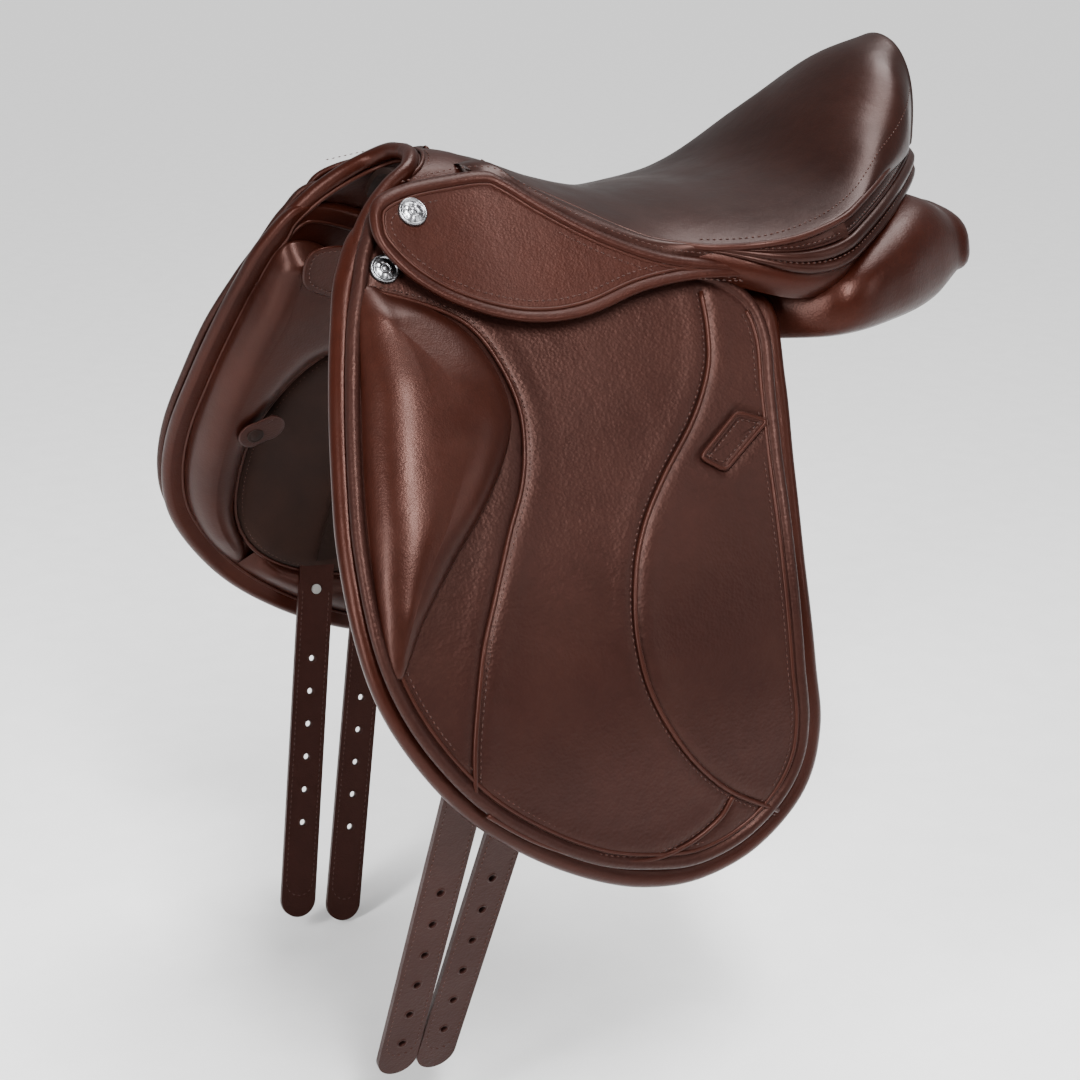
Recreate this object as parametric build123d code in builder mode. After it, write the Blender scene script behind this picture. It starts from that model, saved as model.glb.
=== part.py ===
"""English dressage saddle: tree, seat, panels, flaps, skirts and girth straps, in millimetres.

+Z is up, the pommel faces -Y, the near (left) side is +X, and X = 0 is the mirror plane.
The origin is the middle of the space between the panels, where the horse's back or a rack
carries the saddle. Left-hand pieces are drawn and the right-hand ones are their mirror images,
apart from the four girth straps, which hang loose and each have their own line.
"""
import os
from math import cos, radians, sin, tan

from build123d import *

os.makedirs("parts", exist_ok=True)

# Flank: the surface that the flaps lie on. Its section in the XZ plane is a straight upper slope,
# a barrel arc and a nearly upright lower run. The rear section stands wider than the front one.
FRONT_BEND = (176, -90)         # where the slope meets the barrel arc, ahead of the stirrup bars
FRONT_SLOPE = 34                # angle of the outward normal above level on the slope
FRONT_BARREL = 330              # barrel radius
FRONT_LOWER = 6                 # angle of the outward normal on the lower run
REAR_BEND = (190, -90)
REAR_SLOPE = 26
REAR_BARREL = 407
REAR_LOWER = 4
FRONT_END_Y = -345
FLARE_START_Y = -200            # ahead of this the section stays the same
REAR_END_Y = 60
FLANK_TOP_Z = 140
FLANK_BOTTOM_Z = -350

# Layers, as offsets outward from the flank surface.
SWEAT_FLAP_LAYER = (-12, 4)     # padded under-flap
FLAP_LAYER = (11, 15)
SKIRT_LAYER = (24, 28)
KNEE_BLOCK_LAYER = (15.3, 36)
PATCH_LAYER = (15, 16.5)
KNEE_ROLL_LAYER = (-36, -12.3)
LINING_LAYER = (-34, -24)
WEB_LAYER = (-23, -20)
POCKET_LAYER = (-31, -26)

# Fold line of the flap and the skirt: a straight line just outside the skirt.
FOLD_OFFSET = 29
FOLD_FRONT_YZ = (-255, 88)
FOLD_REAR_YZ = (-30, 50)
FOLD_GAP = 1.0

# Seat: stations along Y with half width, lower edge height and crown height.
SEAT_STATIONS = (
    (-178, 34, 124, 131),
    (-150, 56, 113, 121),
    (-110, 78, 94, 107),
    (-60, 112, 73, 96),
    (-10, 142, 71, 98),
    (30, 150, 80, 108),
    (70, 140, 94, 130),
    (110, 116, 110, 157),
    (150, 84, 122, 180),
    (184, 36, 128, 193),
)
COVER_LEATHER = 4.0
FOAM_GAP = 0.3
WELT_SIZE = 5.0
CANTLE_BAND_HEIGHT = 18
TREE_THICKNESS = 9
TREE_OUTSIDE = ((0, -176), (26, -172), (56, -110), (76, -60), (90, -10), (102, 40), (96, 90),
                (64, 132), (26, 158), (0, 163))
TREE_INSIDE = ((0, -140), (14, -136), (32, -100), (52, -50), (64, 0), (74, 50), (68, 90),
               (42, 116), (18, 128), (0, 131))
TREE_DROP = 6                   # tree top below the seat's lower edge

# Pommel arch, round the front of the tree.
POMMEL_TOP_Z = 130
POMMEL_BACK_Y = -180
POMMEL_FOOT_Z = 93
ARCH_CENTRE_Z = 69
HEAD_PLATE_GAUGE = 4
HEAD_PLATE_Y = (-214, -190)

# Girth straps.
STRAP_WIDTH = 29
STRAP_GAUGE = 4
STRAP_ABOVE_PIVOT = 13
HOLE_RADIUS = 2.5
HOLE_PITCH = 27
HOLE_COUNT = 6
NAIL_RADIUS = 4.0
NAIL_HEAD = 1.2
NAIL_FROM_PIVOT = 9
# name, pivot point, centre of the rounded tip, first hole's distance below the pivot
STRAPS = (
    ("front_left", (210, -258, -240), (145, -282, -463), 84),
    ("rear_left", (210, -218, -240), (144, -253, -467), 82),
    ("front_right", (-210, -199, -240), (-139, -251, -489), 66),
    ("rear_right", (-210, -150, -240), (-139, -212, -502), 80),
)

# Stirrup bars.
BAR_RADIUS = 4.0
BAR_OFFSET = 18.6
BAR_LENGTH = 70
BAR_MIDDLE_YZ = (-118, 75)
CATCH_PIN_RADIUS = 1.5
CATCH_PIN_CLEARANCE = 0.05
CATCH_GAUGE = 3.0
CATCH_LENGTH = 15


def flank_x(section, z, offset=0):
    """X of one flank section's slope at height z, for a layer at this offset."""
    (bend_x, bend_z), slope = section[:2]
    x = bend_x + offset * cos(radians(slope))
    return x - (z - bend_z - offset * sin(radians(slope))) * tan(radians(slope))


FRONT_SECTION = (FRONT_BEND, FRONT_SLOPE, FRONT_BARREL, FRONT_LOWER)
REAR_SECTION = (REAR_BEND, REAR_SLOPE, REAR_BARREL, REAR_LOWER)


def slope_point(y, z, offset):
    """Point on the upper slope of a layer."""
    share = max(0, (y - FLARE_START_Y) / (REAR_END_Y - FLARE_START_Y))
    front = flank_x(FRONT_SECTION, z, offset)
    rear = flank_x(REAR_SECTION, z, offset)
    return Vector((1 - share) * front + share * rear, y, z)


def flank_side(section, offset):
    """Corner points of one side of a layer's section: top, bend, arc middle, arc end, bottom."""
    (bend_x, bend_z), slope, barrel, lower = section
    centre_x = bend_x - barrel * cos(radians(slope))
    centre_z = bend_z - barrel * sin(radians(slope))
    arc = []
    for angle in (slope, (slope + lower) / 2, lower):
        reach = barrel + offset
        arc.append((centre_x + reach * cos(radians(angle)), centre_z + reach * sin(radians(angle))))
    top = (flank_x(section, FLANK_TOP_Z, offset), FLANK_TOP_Z)
    end_x, end_z = arc[-1]
    bottom = (end_x + (end_z - FLANK_BOTTOM_Z) * tan(radians(lower)), FLANK_BOTTOM_Z)
    return [top, *arc, bottom]


def flank_layer(layer):
    """The whole flank between two offsets, as one solid."""
    stations = (
        (FRONT_END_Y, FRONT_SECTION),
        (FLARE_START_Y, FRONT_SECTION),
        (REAR_END_Y, REAR_SECTION),
    )
    with BuildPart() as slab:
        for y, section in stations:
            inner = flank_side(section, layer[0])
            outer = flank_side(section, layer[1])
            with BuildSketch(Plane.XZ.offset(-y)):
                with BuildLine():
                    Line(inner[0], inner[1])
                    ThreePointArc(inner[1], inner[2], inner[3])
                    Line(inner[3], inner[4])
                    Line(inner[4], outer[4])
                    Line(outer[4], outer[3])
                    ThreePointArc(outer[3], outer[2], outer[1])
                    Line(outer[1], outer[0])
                    Line(outer[0], inner[0])
                make_face()
        loft(ruled=True)
    return slab.part


def write(part, name):
    """Label a piece and write its STEP file."""
    part.label = name
    export_step(part, f"parts/{name}.step")


def write_pair(part, name):
    """Write the left-hand piece and its mirror image."""
    write(part, f"{name}_left")
    write(part.mirror(Plane.YZ), f"{name}_right")


# Fold axis and the plane that divides the fixed and the moving leather.
fold_front = slope_point(*FOLD_FRONT_YZ, FOLD_OFFSET)
fold_rear = slope_point(*FOLD_REAR_YZ, FOLD_OFFSET)
fold_axis = (fold_rear - fold_front).normalized()
slope_normal = Vector(cos(radians(FRONT_SLOPE)), 0, sin(radians(FRONT_SLOPE)))
fold_down = fold_axis.cross(slope_normal).normalized()
if fold_down.Z > 0:
    fold_down = -fold_down
fold_moving = Plane(fold_front + fold_down * FOLD_GAP / 2, x_dir=fold_axis, z_dir=fold_down)
fold_fixed = Plane(fold_front - fold_down * FOLD_GAP / 2, x_dir=fold_axis, z_dir=fold_down)

# Sweat flap: the padded flap next to the horse, with the roll round its edge.
with BuildPart() as sweat_flap:
    with BuildSketch(Plane.YZ):
        with BuildLine():
            front_top = (-252, POMMEL_FOOT_Z - 1)
            Spline(front_top, (-285, 34), (-318, -100), (-295, -205), (-220, -282), (-104, -322),
                   (-28, -285), (-8, -200), (-3, -80), (10, 30))
            Polyline((10, 30), (-60, 45), (-165, 60), (-182, POMMEL_FOOT_Z - 1), front_top)
        make_face()
    extrude(amount=320)
    add(flank_layer(SWEAT_FLAP_LAYER), mode=Mode.INTERSECT)
write_pair(sweat_flap.part, "sweat_flap")

# Flap: outer leather, divided along the fold into a fixed strip and the part that lifts.
with BuildPart() as whole_flap:
    with BuildSketch(Plane.YZ):
        with BuildLine():
            flap_front = (-243, 104)
            Spline(flap_front, (-285, 36), (-317, -95), (-296, -195), (-223, -269), (-114, -307),
                   (-40, -272), (-24, -200), (-16, -69), (0, 34))
            Polyline((0, 34), (-36, 50), (-110, 86), (-165, 108), flap_front)
        make_face()
    extrude(amount=320)
    add(flank_layer(FLAP_LAYER), mode=Mode.INTERSECT)

bar_middle = slope_point(*BAR_MIDDLE_YZ, BAR_OFFSET)
bar_plane = Plane(bar_middle, x_dir=fold_axis, z_dir=fold_axis.cross(fold_down) * -1)

with BuildPart() as flap:
    add(whole_flap.part)
    split(bisect_by=fold_moving, keep=Keep.TOP)
write_pair(flap.part, "flap")

WINDOW_SIZE = (BAR_LENGTH + 24, 20)
WINDOW_RISE = 2
with BuildPart() as flap_top:
    add(whole_flap.part)
    split(bisect_by=fold_fixed, keep=Keep.BOTTOM)
    with BuildSketch(bar_plane):
        with Locations((0, WINDOW_RISE)):
            Rectangle(*WINDOW_SIZE)
    extrude(amount=16, both=True, mode=Mode.SUBTRACT)
write_pair(flap_top.part, "flap_top")

# Knee block: teardrop pad sewn on the flap, thickest near its top.
with BuildPart() as knee_block:
    with BuildSketch(Plane.YZ):
        with BuildLine():
            Spline((-272, 52), (-234, 42), (-196, 0), (-213, -50), (-262, -98), (-308, -152))
            Spline((-308, -152), (-311, -110), (-298, -35), (-272, 52))
        make_face()
    extrude(amount=320)
    add(flank_layer(KNEE_BLOCK_LAYER), mode=Mode.INTERSECT)
    fillet(knee_block.edges().filter_by(GeomType.BSPLINE).sort_by(Axis.X)[-1:], radius=4)
write_pair(knee_block.part, "knee_block")

# Stitched strap-keeper patch at the back of the flap.
with BuildPart() as flap_patch:
    with BuildSketch(Plane.YZ):
        with BuildLine():
            Polyline((-74, -56), (-40, -31), (-20, -39), (-58, -66), close=True)
        make_face()
    extrude(amount=320)
    add(flank_layer(PATCH_LAYER), mode=Mode.INTERSECT)
write_pair(flap_patch.part, "flap_patch")

# Skirt: small flap over the stirrup bar, divided along the same fold.
with BuildPart() as whole_skirt:
    with BuildSketch(Plane.YZ):
        with BuildLine():
            skirt_front = (-250, 106)
            Spline(skirt_front, (-259, 90), (-241, 61), (-189, 35), (-140, 32), (-88, 46), (-40, 49),
                   (0, 50))
            Line((0, 50), (0, 54))
            Spline((0, 54), (-40, 60), (-100, 84), (-150, 112), (-190, 121), (-232, 115), skirt_front)
        make_face()
    extrude(amount=320)
    add(flank_layer(SKIRT_LAYER), mode=Mode.INTERSECT)

with BuildPart() as skirt:
    add(whole_skirt.part)
    split(bisect_by=fold_moving, keep=Keep.TOP)
write_pair(skirt.part, "skirt")

with BuildPart() as skirt_top:
    add(whole_skirt.part)
    split(bisect_by=fold_fixed, keep=Keep.BOTTOM)
write_pair(skirt_top.part, "skirt_top")

# Round-headed studs: the upper one holds the skirt's front, the lower one the flap's.
STUD_HEAD_RADIUS = 9.5
STUD_HEAD_HEIGHT = 3
STUDS = (("skirt_stud", (-230, 99), SKIRT_LAYER), ("flap_stud", (-254, 66), FLAP_LAYER))
for stud_name, (stud_y, stud_z), stud_layer in STUDS:
    stud_plane = Plane(slope_point(stud_y, stud_z, stud_layer[1]), z_dir=slope_normal)
    with BuildPart() as stud:
        with BuildSketch(stud_plane):
            Circle(STUD_HEAD_RADIUS)
        extrude(amount=STUD_HEAD_HEIGHT)
        fillet(stud.edges().filter_by(GeomType.CIRCLE).sort_by(Axis.X)[-1:], radius=1.2)
    write_pair(stud.part, stud_name)

# Seat: a crowned pad lofted through its stations, then foam and cover as separate solids.
def seat_loft(inset, hem):
    """Crowned solid inside the seat's skin by this inset, with straight sides below its edge."""
    with BuildPart() as pad:
        for y, half_width, edge_z, crown_z in SEAT_STATIONS:
            reach = half_width - inset
            with BuildSketch(Plane.XZ.offset(-y)):
                with BuildLine():
                    ThreePointArc((-reach, edge_z), (0, crown_z - inset), (reach, edge_z))
                    Polyline((reach, edge_z), (reach, edge_z - hem), (-reach, edge_z - hem),
                             (-reach, edge_z))
                make_face()
        loft()
    return pad.part


SEAT_HEM = 3.0
with BuildPart() as seat_cover:
    add(seat_loft(0, SEAT_HEM))
    add(seat_loft(COVER_LEATHER, SEAT_HEM + 2), mode=Mode.SUBTRACT)
write(seat_cover.part, "seat_cover")

with BuildPart() as seat_foam:
    add(seat_loft(COVER_LEATHER + FOAM_GAP, SEAT_HEM - 1))
write(seat_foam.part, "seat_foam")


def seat_outline(inset):
    """Plan outline of the seat, inset from its edge."""
    right = [(half_width - inset, y) for y, half_width, *_ in SEAT_STATIONS]
    right[0] = (right[0][0], right[0][1] + inset)
    right[-1] = (right[-1][0], right[-1][1] - inset)
    left = [(-x, y) for x, y in reversed(right)]
    with BuildLine() as outline:
        Spline(*right)
        Line(right[-1], left[0])
        Spline(*left)
        Line(left[-1], right[0])
    return outline


def edge_band(drop, height, start_y=SEAT_STATIONS[0][0], end_y=SEAT_STATIONS[-1][0] + 8):
    """Slab that follows the seat's lower edge in side view, this far below it."""
    line = [(y, edge_z - drop) for y, _, edge_z, _ in SEAT_STATIONS]
    line = [(SEAT_STATIONS[0][0] - 6, SEAT_STATIONS[0][2] + 2 - drop), *line]
    line = [*line, (SEAT_STATIONS[-1][0] + 12, SEAT_STATIONS[-1][2] + 1 - drop)]
    low = [(y, z - height) for y, z in reversed(line)]
    with BuildPart() as band:
        with BuildSketch(Plane.YZ):
            with BuildLine():
                Spline(*line)
                Line(line[-1], low[0])
                Spline(*low)
                Line(low[-1], line[0])
            make_face()
            with Locations(((start_y + end_y) / 2, 100)):
                Rectangle(end_y - start_y, 300, mode=Mode.INTERSECT)
        extrude(amount=200, both=True)
    return band.part


def seat_wall(inset, width, drop, height, start_y):
    """Strip that runs round the seat's outline, behind start_y."""
    with BuildPart() as wall:
        with BuildSketch():
            with BuildLine():
                add(seat_outline(inset).line)
            make_face()
            with BuildLine():
                add(seat_outline(inset + width).line)
            make_face(mode=Mode.SUBTRACT)
        extrude(amount=260)
        add(edge_band(drop, height, start_y=start_y), mode=Mode.INTERSECT)
    return wall.part


# Piping between the seat and its side leather, then the cantle band and the welt below it.
CANTLE_START_Y = 0
WELT_TOP = SEAT_HEM + 1.6
BAND_TOP = WELT_TOP + WELT_SIZE + 0.3
write(seat_wall(-1, WELT_SIZE, WELT_TOP, WELT_SIZE, start_y=-62), "seat_welt")
cantle_band = seat_wall(6, 4, BAND_TOP, CANTLE_BAND_HEIGHT - BAND_TOP, start_y=CANTLE_START_Y)
write(cantle_band, "cantle_band")
cantle_welt = seat_wall(-3, 9, CANTLE_BAND_HEIGHT + 0.3, 7, start_y=20)
write(cantle_welt, "cantle_welt")

# Tree: a ring of rails under the seat, open in the middle, following the seat's lower edge.
with BuildPart() as tree:
    with BuildSketch():
        with BuildLine():
            Spline(*TREE_OUTSIDE, tangents=((1, 0), (-1, 0)))
            mirror(about=Plane.YZ)
        make_face()
        with BuildLine():
            Spline(*TREE_INSIDE, tangents=((1, 0), (-1, 0)))
            mirror(about=Plane.YZ)
        make_face(mode=Mode.SUBTRACT)
    extrude(amount=260)
    add(edge_band(TREE_DROP, TREE_THICKNESS), mode=Mode.INTERSECT)
write(tree.part, "tree")

# Seat webbing: two straps stretched from the head to the cantle, on top of the tree.
WEB_STRAP = (24, 318)
WEBBING_GAUGE = 1.8
with BuildPart() as seat_webbing:
    with BuildSketch():
        with GridLocations(34, 0, 2, 1):
            Rectangle(*WEB_STRAP)
    extrude(amount=260)
    add(edge_band(TREE_DROP - WEBBING_GAUGE - 0.3, WEBBING_GAUGE), mode=Mode.INTERSECT)
write(seat_webbing.part, "seat_webbing")

# Channel lining: leather under the tree, over the gap between the panels.
CHANNEL_LINING = (62, 330)
with BuildPart() as channel_lining:
    with BuildSketch():
        Rectangle(*CHANNEL_LINING)
    extrude(amount=260)
    add(edge_band(TREE_DROP + TREE_THICKNESS + 0.3, 2), mode=Mode.INTERSECT)
write(channel_lining.part, "channel_lining")


# Pommel arch: a tangent arch over the withers, with its legs in line with the front flank.
def arch_leg(offset, foot_z):
    """Tangent point and foot of the arch leg at this offset from the flank."""
    slope = radians(FRONT_SLOPE)
    foot = (flank_x(FRONT_SECTION, foot_z, offset), foot_z)
    radius = foot[0] * cos(slope) + (foot_z - ARCH_CENTRE_Z) * sin(slope)
    tangent = (radius * cos(slope), ARCH_CENTRE_Z + radius * sin(slope))
    return radius, tangent, foot


def arch(inner_offset, outer_offset, foot_z, plane, depth):
    """Arch between two offsets, pushed back from this plane."""
    with BuildPart() as solid:
        with BuildSketch(plane):
            with BuildLine():
                ends = []
                for offset_from_flank in (outer_offset, inner_offset):
                    radius, tangent, foot = arch_leg(offset_from_flank, foot_z)
                    top = (0, ARCH_CENTRE_Z + radius)
                    mirrored = (-tangent[0], tangent[1])
                    ThreePointArc(tangent, top, mirrored)
                    Line(tangent, foot)
                    Line(mirrored, (-foot[0], foot_z))
                    ends.append(foot)
                Line(ends[0], ends[1])
                Line((-ends[0][0], foot_z), (-ends[1][0], foot_z))
            make_face()
        extrude(amount=-depth)
    return solid.part


POMMEL_FRONT_Y = -264
POMMEL_LAYER = (-4, 4)
with BuildPart() as pommel_facing:
    pommel_plane = Plane.XZ.offset(-POMMEL_FRONT_Y)
    add(arch(*POMMEL_LAYER, POMMEL_FOOT_Z, pommel_plane, POMMEL_BACK_Y - POMMEL_FRONT_Y))
    with BuildSketch(Plane.YZ):
        Polygon((-196, POMMEL_TOP_Z), (-254, POMMEL_FOOT_Z), (-262, POMMEL_FOOT_Z - 20),
                (-300, 60), (-300, 160), (-196, 160), align=None)
    extrude(amount=120, both=True, mode=Mode.SUBTRACT)
write(pommel_facing.part, "pommel_facing")

HEAD_LAYER = (-12.5, -12.5 + HEAD_PLATE_GAUGE)
HEAD_FOOT_Z = 96
write(
    arch(*HEAD_LAYER, HEAD_FOOT_Z, Plane.XZ.offset(-HEAD_PLATE_Y[0]), HEAD_PLATE_Y[1] - HEAD_PLATE_Y[0]),
    "head_plate",
)

# Panels: the two cushions that lie on the horse, each lofted through four-cornered sections.
# y, then the corners as (x, z): inner bottom, outer bottom, outer top, inner top
PANEL_STATIONS = (
    (-178, (34, 46), (64, -4), (70, 14), (50, 74)),
    (-100, (34, 36), (80, -20), (86, 6), (46, 66)),
    (-10, (34, 28), (92, -8), (92, 22), (44, 50)),
    (16, (34, 28), (98, -4), (96, 26), (44, 54)),
    (60, (34, 28), (146, 8), (148, 56), (42, 64)),
    (120, (34, 30), (140, 22), (132, 80), (42, 84)),
    (180, (36, 44), (104, 42), (92, 98), (44, 96)),
    (214, (48, 60), (74, 60), (70, 90), (50, 90)),
)
PANEL_CORNER = 5
with BuildPart() as panel:
    for station_y, *corners in PANEL_STATIONS:
        with BuildSketch(Plane.XZ.offset(-station_y)) as section:
            Polygon(*corners, align=None)
            fillet(section.vertices(), radius=PANEL_CORNER)
    loft(ruled=True)
write_pair(panel.part, "panel")

# Knee roll: the front cushion on the inner face of the sweat flap.
with BuildPart() as knee_roll:
    with BuildSketch(Plane.YZ):
        with BuildLine():
            Spline((-252, 50), (-286, 0), (-308, -90), (-298, -180), (-280, -214))
            Line((-280, -214), (-256, -214))
            Spline((-256, -214), (-266, -120), (-238, -48), (-206, 24))
            Line((-206, 24), (-252, 50))
        make_face()
    extrude(amount=320)
    add(flank_layer(KNEE_ROLL_LAYER), mode=Mode.INTERSECT)
write_pair(knee_roll.part, "knee_roll")

# Panel lining: the flat suede field behind the knee roll.
with BuildPart() as panel_lining:
    with BuildSketch(Plane.YZ):
        with BuildLine():
            Spline((-190, -36), (-232, -60), (-260, -125), (-256, -196), (-218, -238), (-160, -243),
                   (-60, -226), (-34, -150))
            Polyline((-34, -150), (-40, -60), (-110, -32), (-190, -36))
        make_face()
    extrude(amount=320)
    add(flank_layer(LINING_LAYER), mode=Mode.INTERSECT)
write_pair(panel_lining.part, "panel_lining")

# Point pocket: stitched pocket on the panel's front top, for the tree's point.
with BuildPart() as point_pocket:
    with BuildSketch(Plane.YZ):
        with BuildLine():
            Polyline((-252, 54), (-206, 28), (-196, 52), (-240, 78), close=True)
        make_face()
    extrude(amount=320)
    add(flank_layer(POCKET_LAYER), mode=Mode.INTERSECT)
write_pair(point_pocket.part, "point_pocket")

# Small riveted tab on the knee roll's inner face.
TAB_PLACE = (-270, -92)
TAB_SIZE = (24, 20)
TAB_GAUGE = 3
tab_offset = KNEE_ROLL_LAYER[0] - 0.3
tab_point = slope_point(*TAB_PLACE, tab_offset)
tab_plane = Plane(tab_point, x_dir=(0, 1, 0), z_dir=-slope_normal)
with BuildPart() as roll_tab:
    with BuildSketch(tab_plane):
        SlotOverall(TAB_SIZE[0] + 8, TAB_SIZE[1])
        with Locations((TAB_SIZE[0] / 2, 0)):
            Rectangle(12, TAB_SIZE[1] + 2, mode=Mode.SUBTRACT)
    extrude(amount=TAB_GAUGE)
write_pair(roll_tab.part, "roll_tab")

with BuildPart() as tab_rivets:
    with BuildSketch(Plane(tab_point - slope_normal * (TAB_GAUGE + 0.1), x_dir=(0, 1, 0), z_dir=-slope_normal)):
        Circle(3.5)
    extrude(amount=1.2)
    mirror(about=Plane.YZ)
write(tab_rivets.part, "tab_rivets")


# Girth straps: each hangs on its own line below the pivot, with holes for a buckle's tongue.
def strap_plane(pivot, tip, offset=0.0):
    """Plane of a strap: X runs down it, Z is the normal that faces the near side."""
    down = (Vector(*tip) - Vector(*pivot)).normalized()
    normal = down.cross(Vector(0, 1, 0)).normalized()
    if normal.X < 0:
        normal = -normal
    return Plane(Vector(*pivot) + normal * offset, x_dir=down, z_dir=normal)


for strap_name, pivot, tip, first_hole in STRAPS:
    length = (Vector(*tip) - Vector(*pivot)).length
    with BuildPart() as strap:
        with BuildSketch(strap_plane(pivot, tip)):
            with Locations(((length - STRAP_ABOVE_PIVOT) / 2, 0)):
                Rectangle(length + STRAP_ABOVE_PIVOT, STRAP_WIDTH)
            with Locations((length, 0)):
                Circle(STRAP_WIDTH / 2)
            with Locations([(first_hole + HOLE_PITCH * k, 0) for k in range(HOLE_COUNT)]):
                Circle(HOLE_RADIUS, mode=Mode.SUBTRACT)
        extrude(amount=STRAP_GAUGE / 2, both=True)
    write(strap.part, f"girth_strap_{strap_name}")
    with BuildPart() as nail:
        for face_offset in (STRAP_GAUGE / 2, -STRAP_GAUGE / 2 - NAIL_HEAD):
            with BuildSketch(strap_plane(pivot, tip, face_offset)):
                with Locations((NAIL_FROM_PIVOT, 0)):
                    Circle(NAIL_RADIUS)
            extrude(amount=NAIL_HEAD)
    write(nail.part, f"strap_nail_{strap_name}")

# Girth webs: they carry the straps from the tree, between the sweat flap and the lining.
WEB_TOP = ((-100, 46), (-146, 46))
WEB_FOOT_Z = -224
for side, side_name in ((1, "left"), (-1, "right")):
    pivots = [pivot for strap_name, pivot, *_ in STRAPS if strap_name.endswith(side_name)]
    front_y = min(y for _, y, _ in pivots)
    rear_y = max(y for _, y, _ in pivots) + STRAP_WIDTH / 2
    with BuildPart() as girth_web:
        with BuildSketch(Plane.YZ):
            Polygon((front_y, WEB_FOOT_Z), (rear_y, WEB_FOOT_Z), *WEB_TOP, align=None)
        extrude(amount=320)
        add(flank_layer(WEB_LAYER), mode=Mode.INTERSECT)
    web = girth_web.part if side > 0 else girth_web.part.mirror(Plane.YZ)
    write(web, f"girth_web_{side_name}")

# Stirrup bar: plate on the tree, a front lug and the round bar, open at its rear end. The rear lug
# carries the pin of the safety catch, which closes that end. In the bar's plane X runs rearward
# along the bar, Y is up the flank and Z is outward.
LUG_THICKNESS = 8
LUG_WIDTH = 9
PLATE_DEPTH = 27
PLATE_GAUGE = 3
PLATE_SIZE = (BAR_LENGTH + 14, 11)
PLATE_RISE = 4
bar_start = -BAR_LENGTH / 2
CATCH_PLACE = (BAR_LENGTH / 2 + 5.5, 6)
CATCH_WIDTH = 7
REAR_LUG_FACE = -2.0
PIN_DEPTH = 8.0
PIN_REACH = 2.4
with BuildPart() as stirrup_bar:
    with BuildSketch(bar_plane.offset(-PLATE_DEPTH)):
        with Locations((5, PLATE_RISE)):
            RectangleRounded(*PLATE_SIZE, 4)
    extrude(amount=PLATE_GAUGE)
    with BuildSketch(bar_plane.offset(-PLATE_DEPTH)):
        with Locations((bar_start + LUG_THICKNESS / 2, PLATE_RISE / 2)):
            Rectangle(LUG_THICKNESS, PLATE_RISE + LUG_WIDTH)
    extrude(amount=PLATE_DEPTH + BAR_RADIUS - 2.5)
    with BuildSketch(bar_plane.offset(-PLATE_DEPTH)):
        with Locations((CATCH_PLACE[0], CATCH_PLACE[1] - 2)):
            Rectangle(LUG_THICKNESS, 9)
    extrude(amount=PLATE_DEPTH + REAR_LUG_FACE)
    with BuildSketch(Plane(bar_plane.from_local_coords((bar_start, 0, 0)), z_dir=fold_axis)):
        Circle(BAR_RADIUS)
    extrude(amount=BAR_LENGTH)
    with BuildSketch(bar_plane.offset(REAR_LUG_FACE)):
        with Locations(CATCH_PLACE):
            Circle(CATCH_PIN_RADIUS)
    extrude(amount=-PIN_DEPTH, mode=Mode.SUBTRACT)
write_pair(stirrup_bar.part, "stirrup_bar")

with BuildPart() as stirrup_catch:
    with BuildSketch(bar_plane.offset(-CATCH_GAUGE / 2)):
        with Locations((CATCH_PLACE[0], CATCH_PLACE[1] - CATCH_LENGTH / 2 + CATCH_WIDTH / 2)):
            RectangleRounded(CATCH_WIDTH, CATCH_LENGTH, 3)
        with Locations(CATCH_PLACE):
            Circle(CATCH_PIN_RADIUS + CATCH_PIN_CLEARANCE, mode=Mode.SUBTRACT)
    extrude(amount=CATCH_GAUGE)
write_pair(stirrup_catch.part, "stirrup_catch")

with BuildPart() as catch_pins:
    with BuildSketch(bar_plane.offset(REAR_LUG_FACE - PIN_DEPTH)):
        with Locations(CATCH_PLACE):
            Circle(CATCH_PIN_RADIUS)
    extrude(amount=PIN_DEPTH - REAR_LUG_FACE + PIN_REACH)
    mirror(about=Plane.YZ)
write(catch_pins.part, "catch_pins")

catch_pivot = bar_plane.from_local_coords((*CATCH_PLACE, 0))
for label, vector in (
    ("fold point", fold_front),
    ("fold axis", fold_axis),
    ("catch pivot", catch_pivot),
    ("catch axis", bar_plane.z_dir),
    ("bar middle", bar_middle),
):
    print(label, [round(value, 4) for value in vector])
for strap_name, pivot, tip, first_hole in STRAPS:
    hang = strap_plane(pivot, tip)
    holes = [hang.from_local_coords((first_hole + HOLE_PITCH * k, 0, 0)) for k in range(HOLE_COUNT)]
    print(strap_name, "normal", [round(value, 4) for value in hang.z_dir])
    print(strap_name, "holes", [[round(value, 2) for value in hole] for hole in holes])
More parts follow.
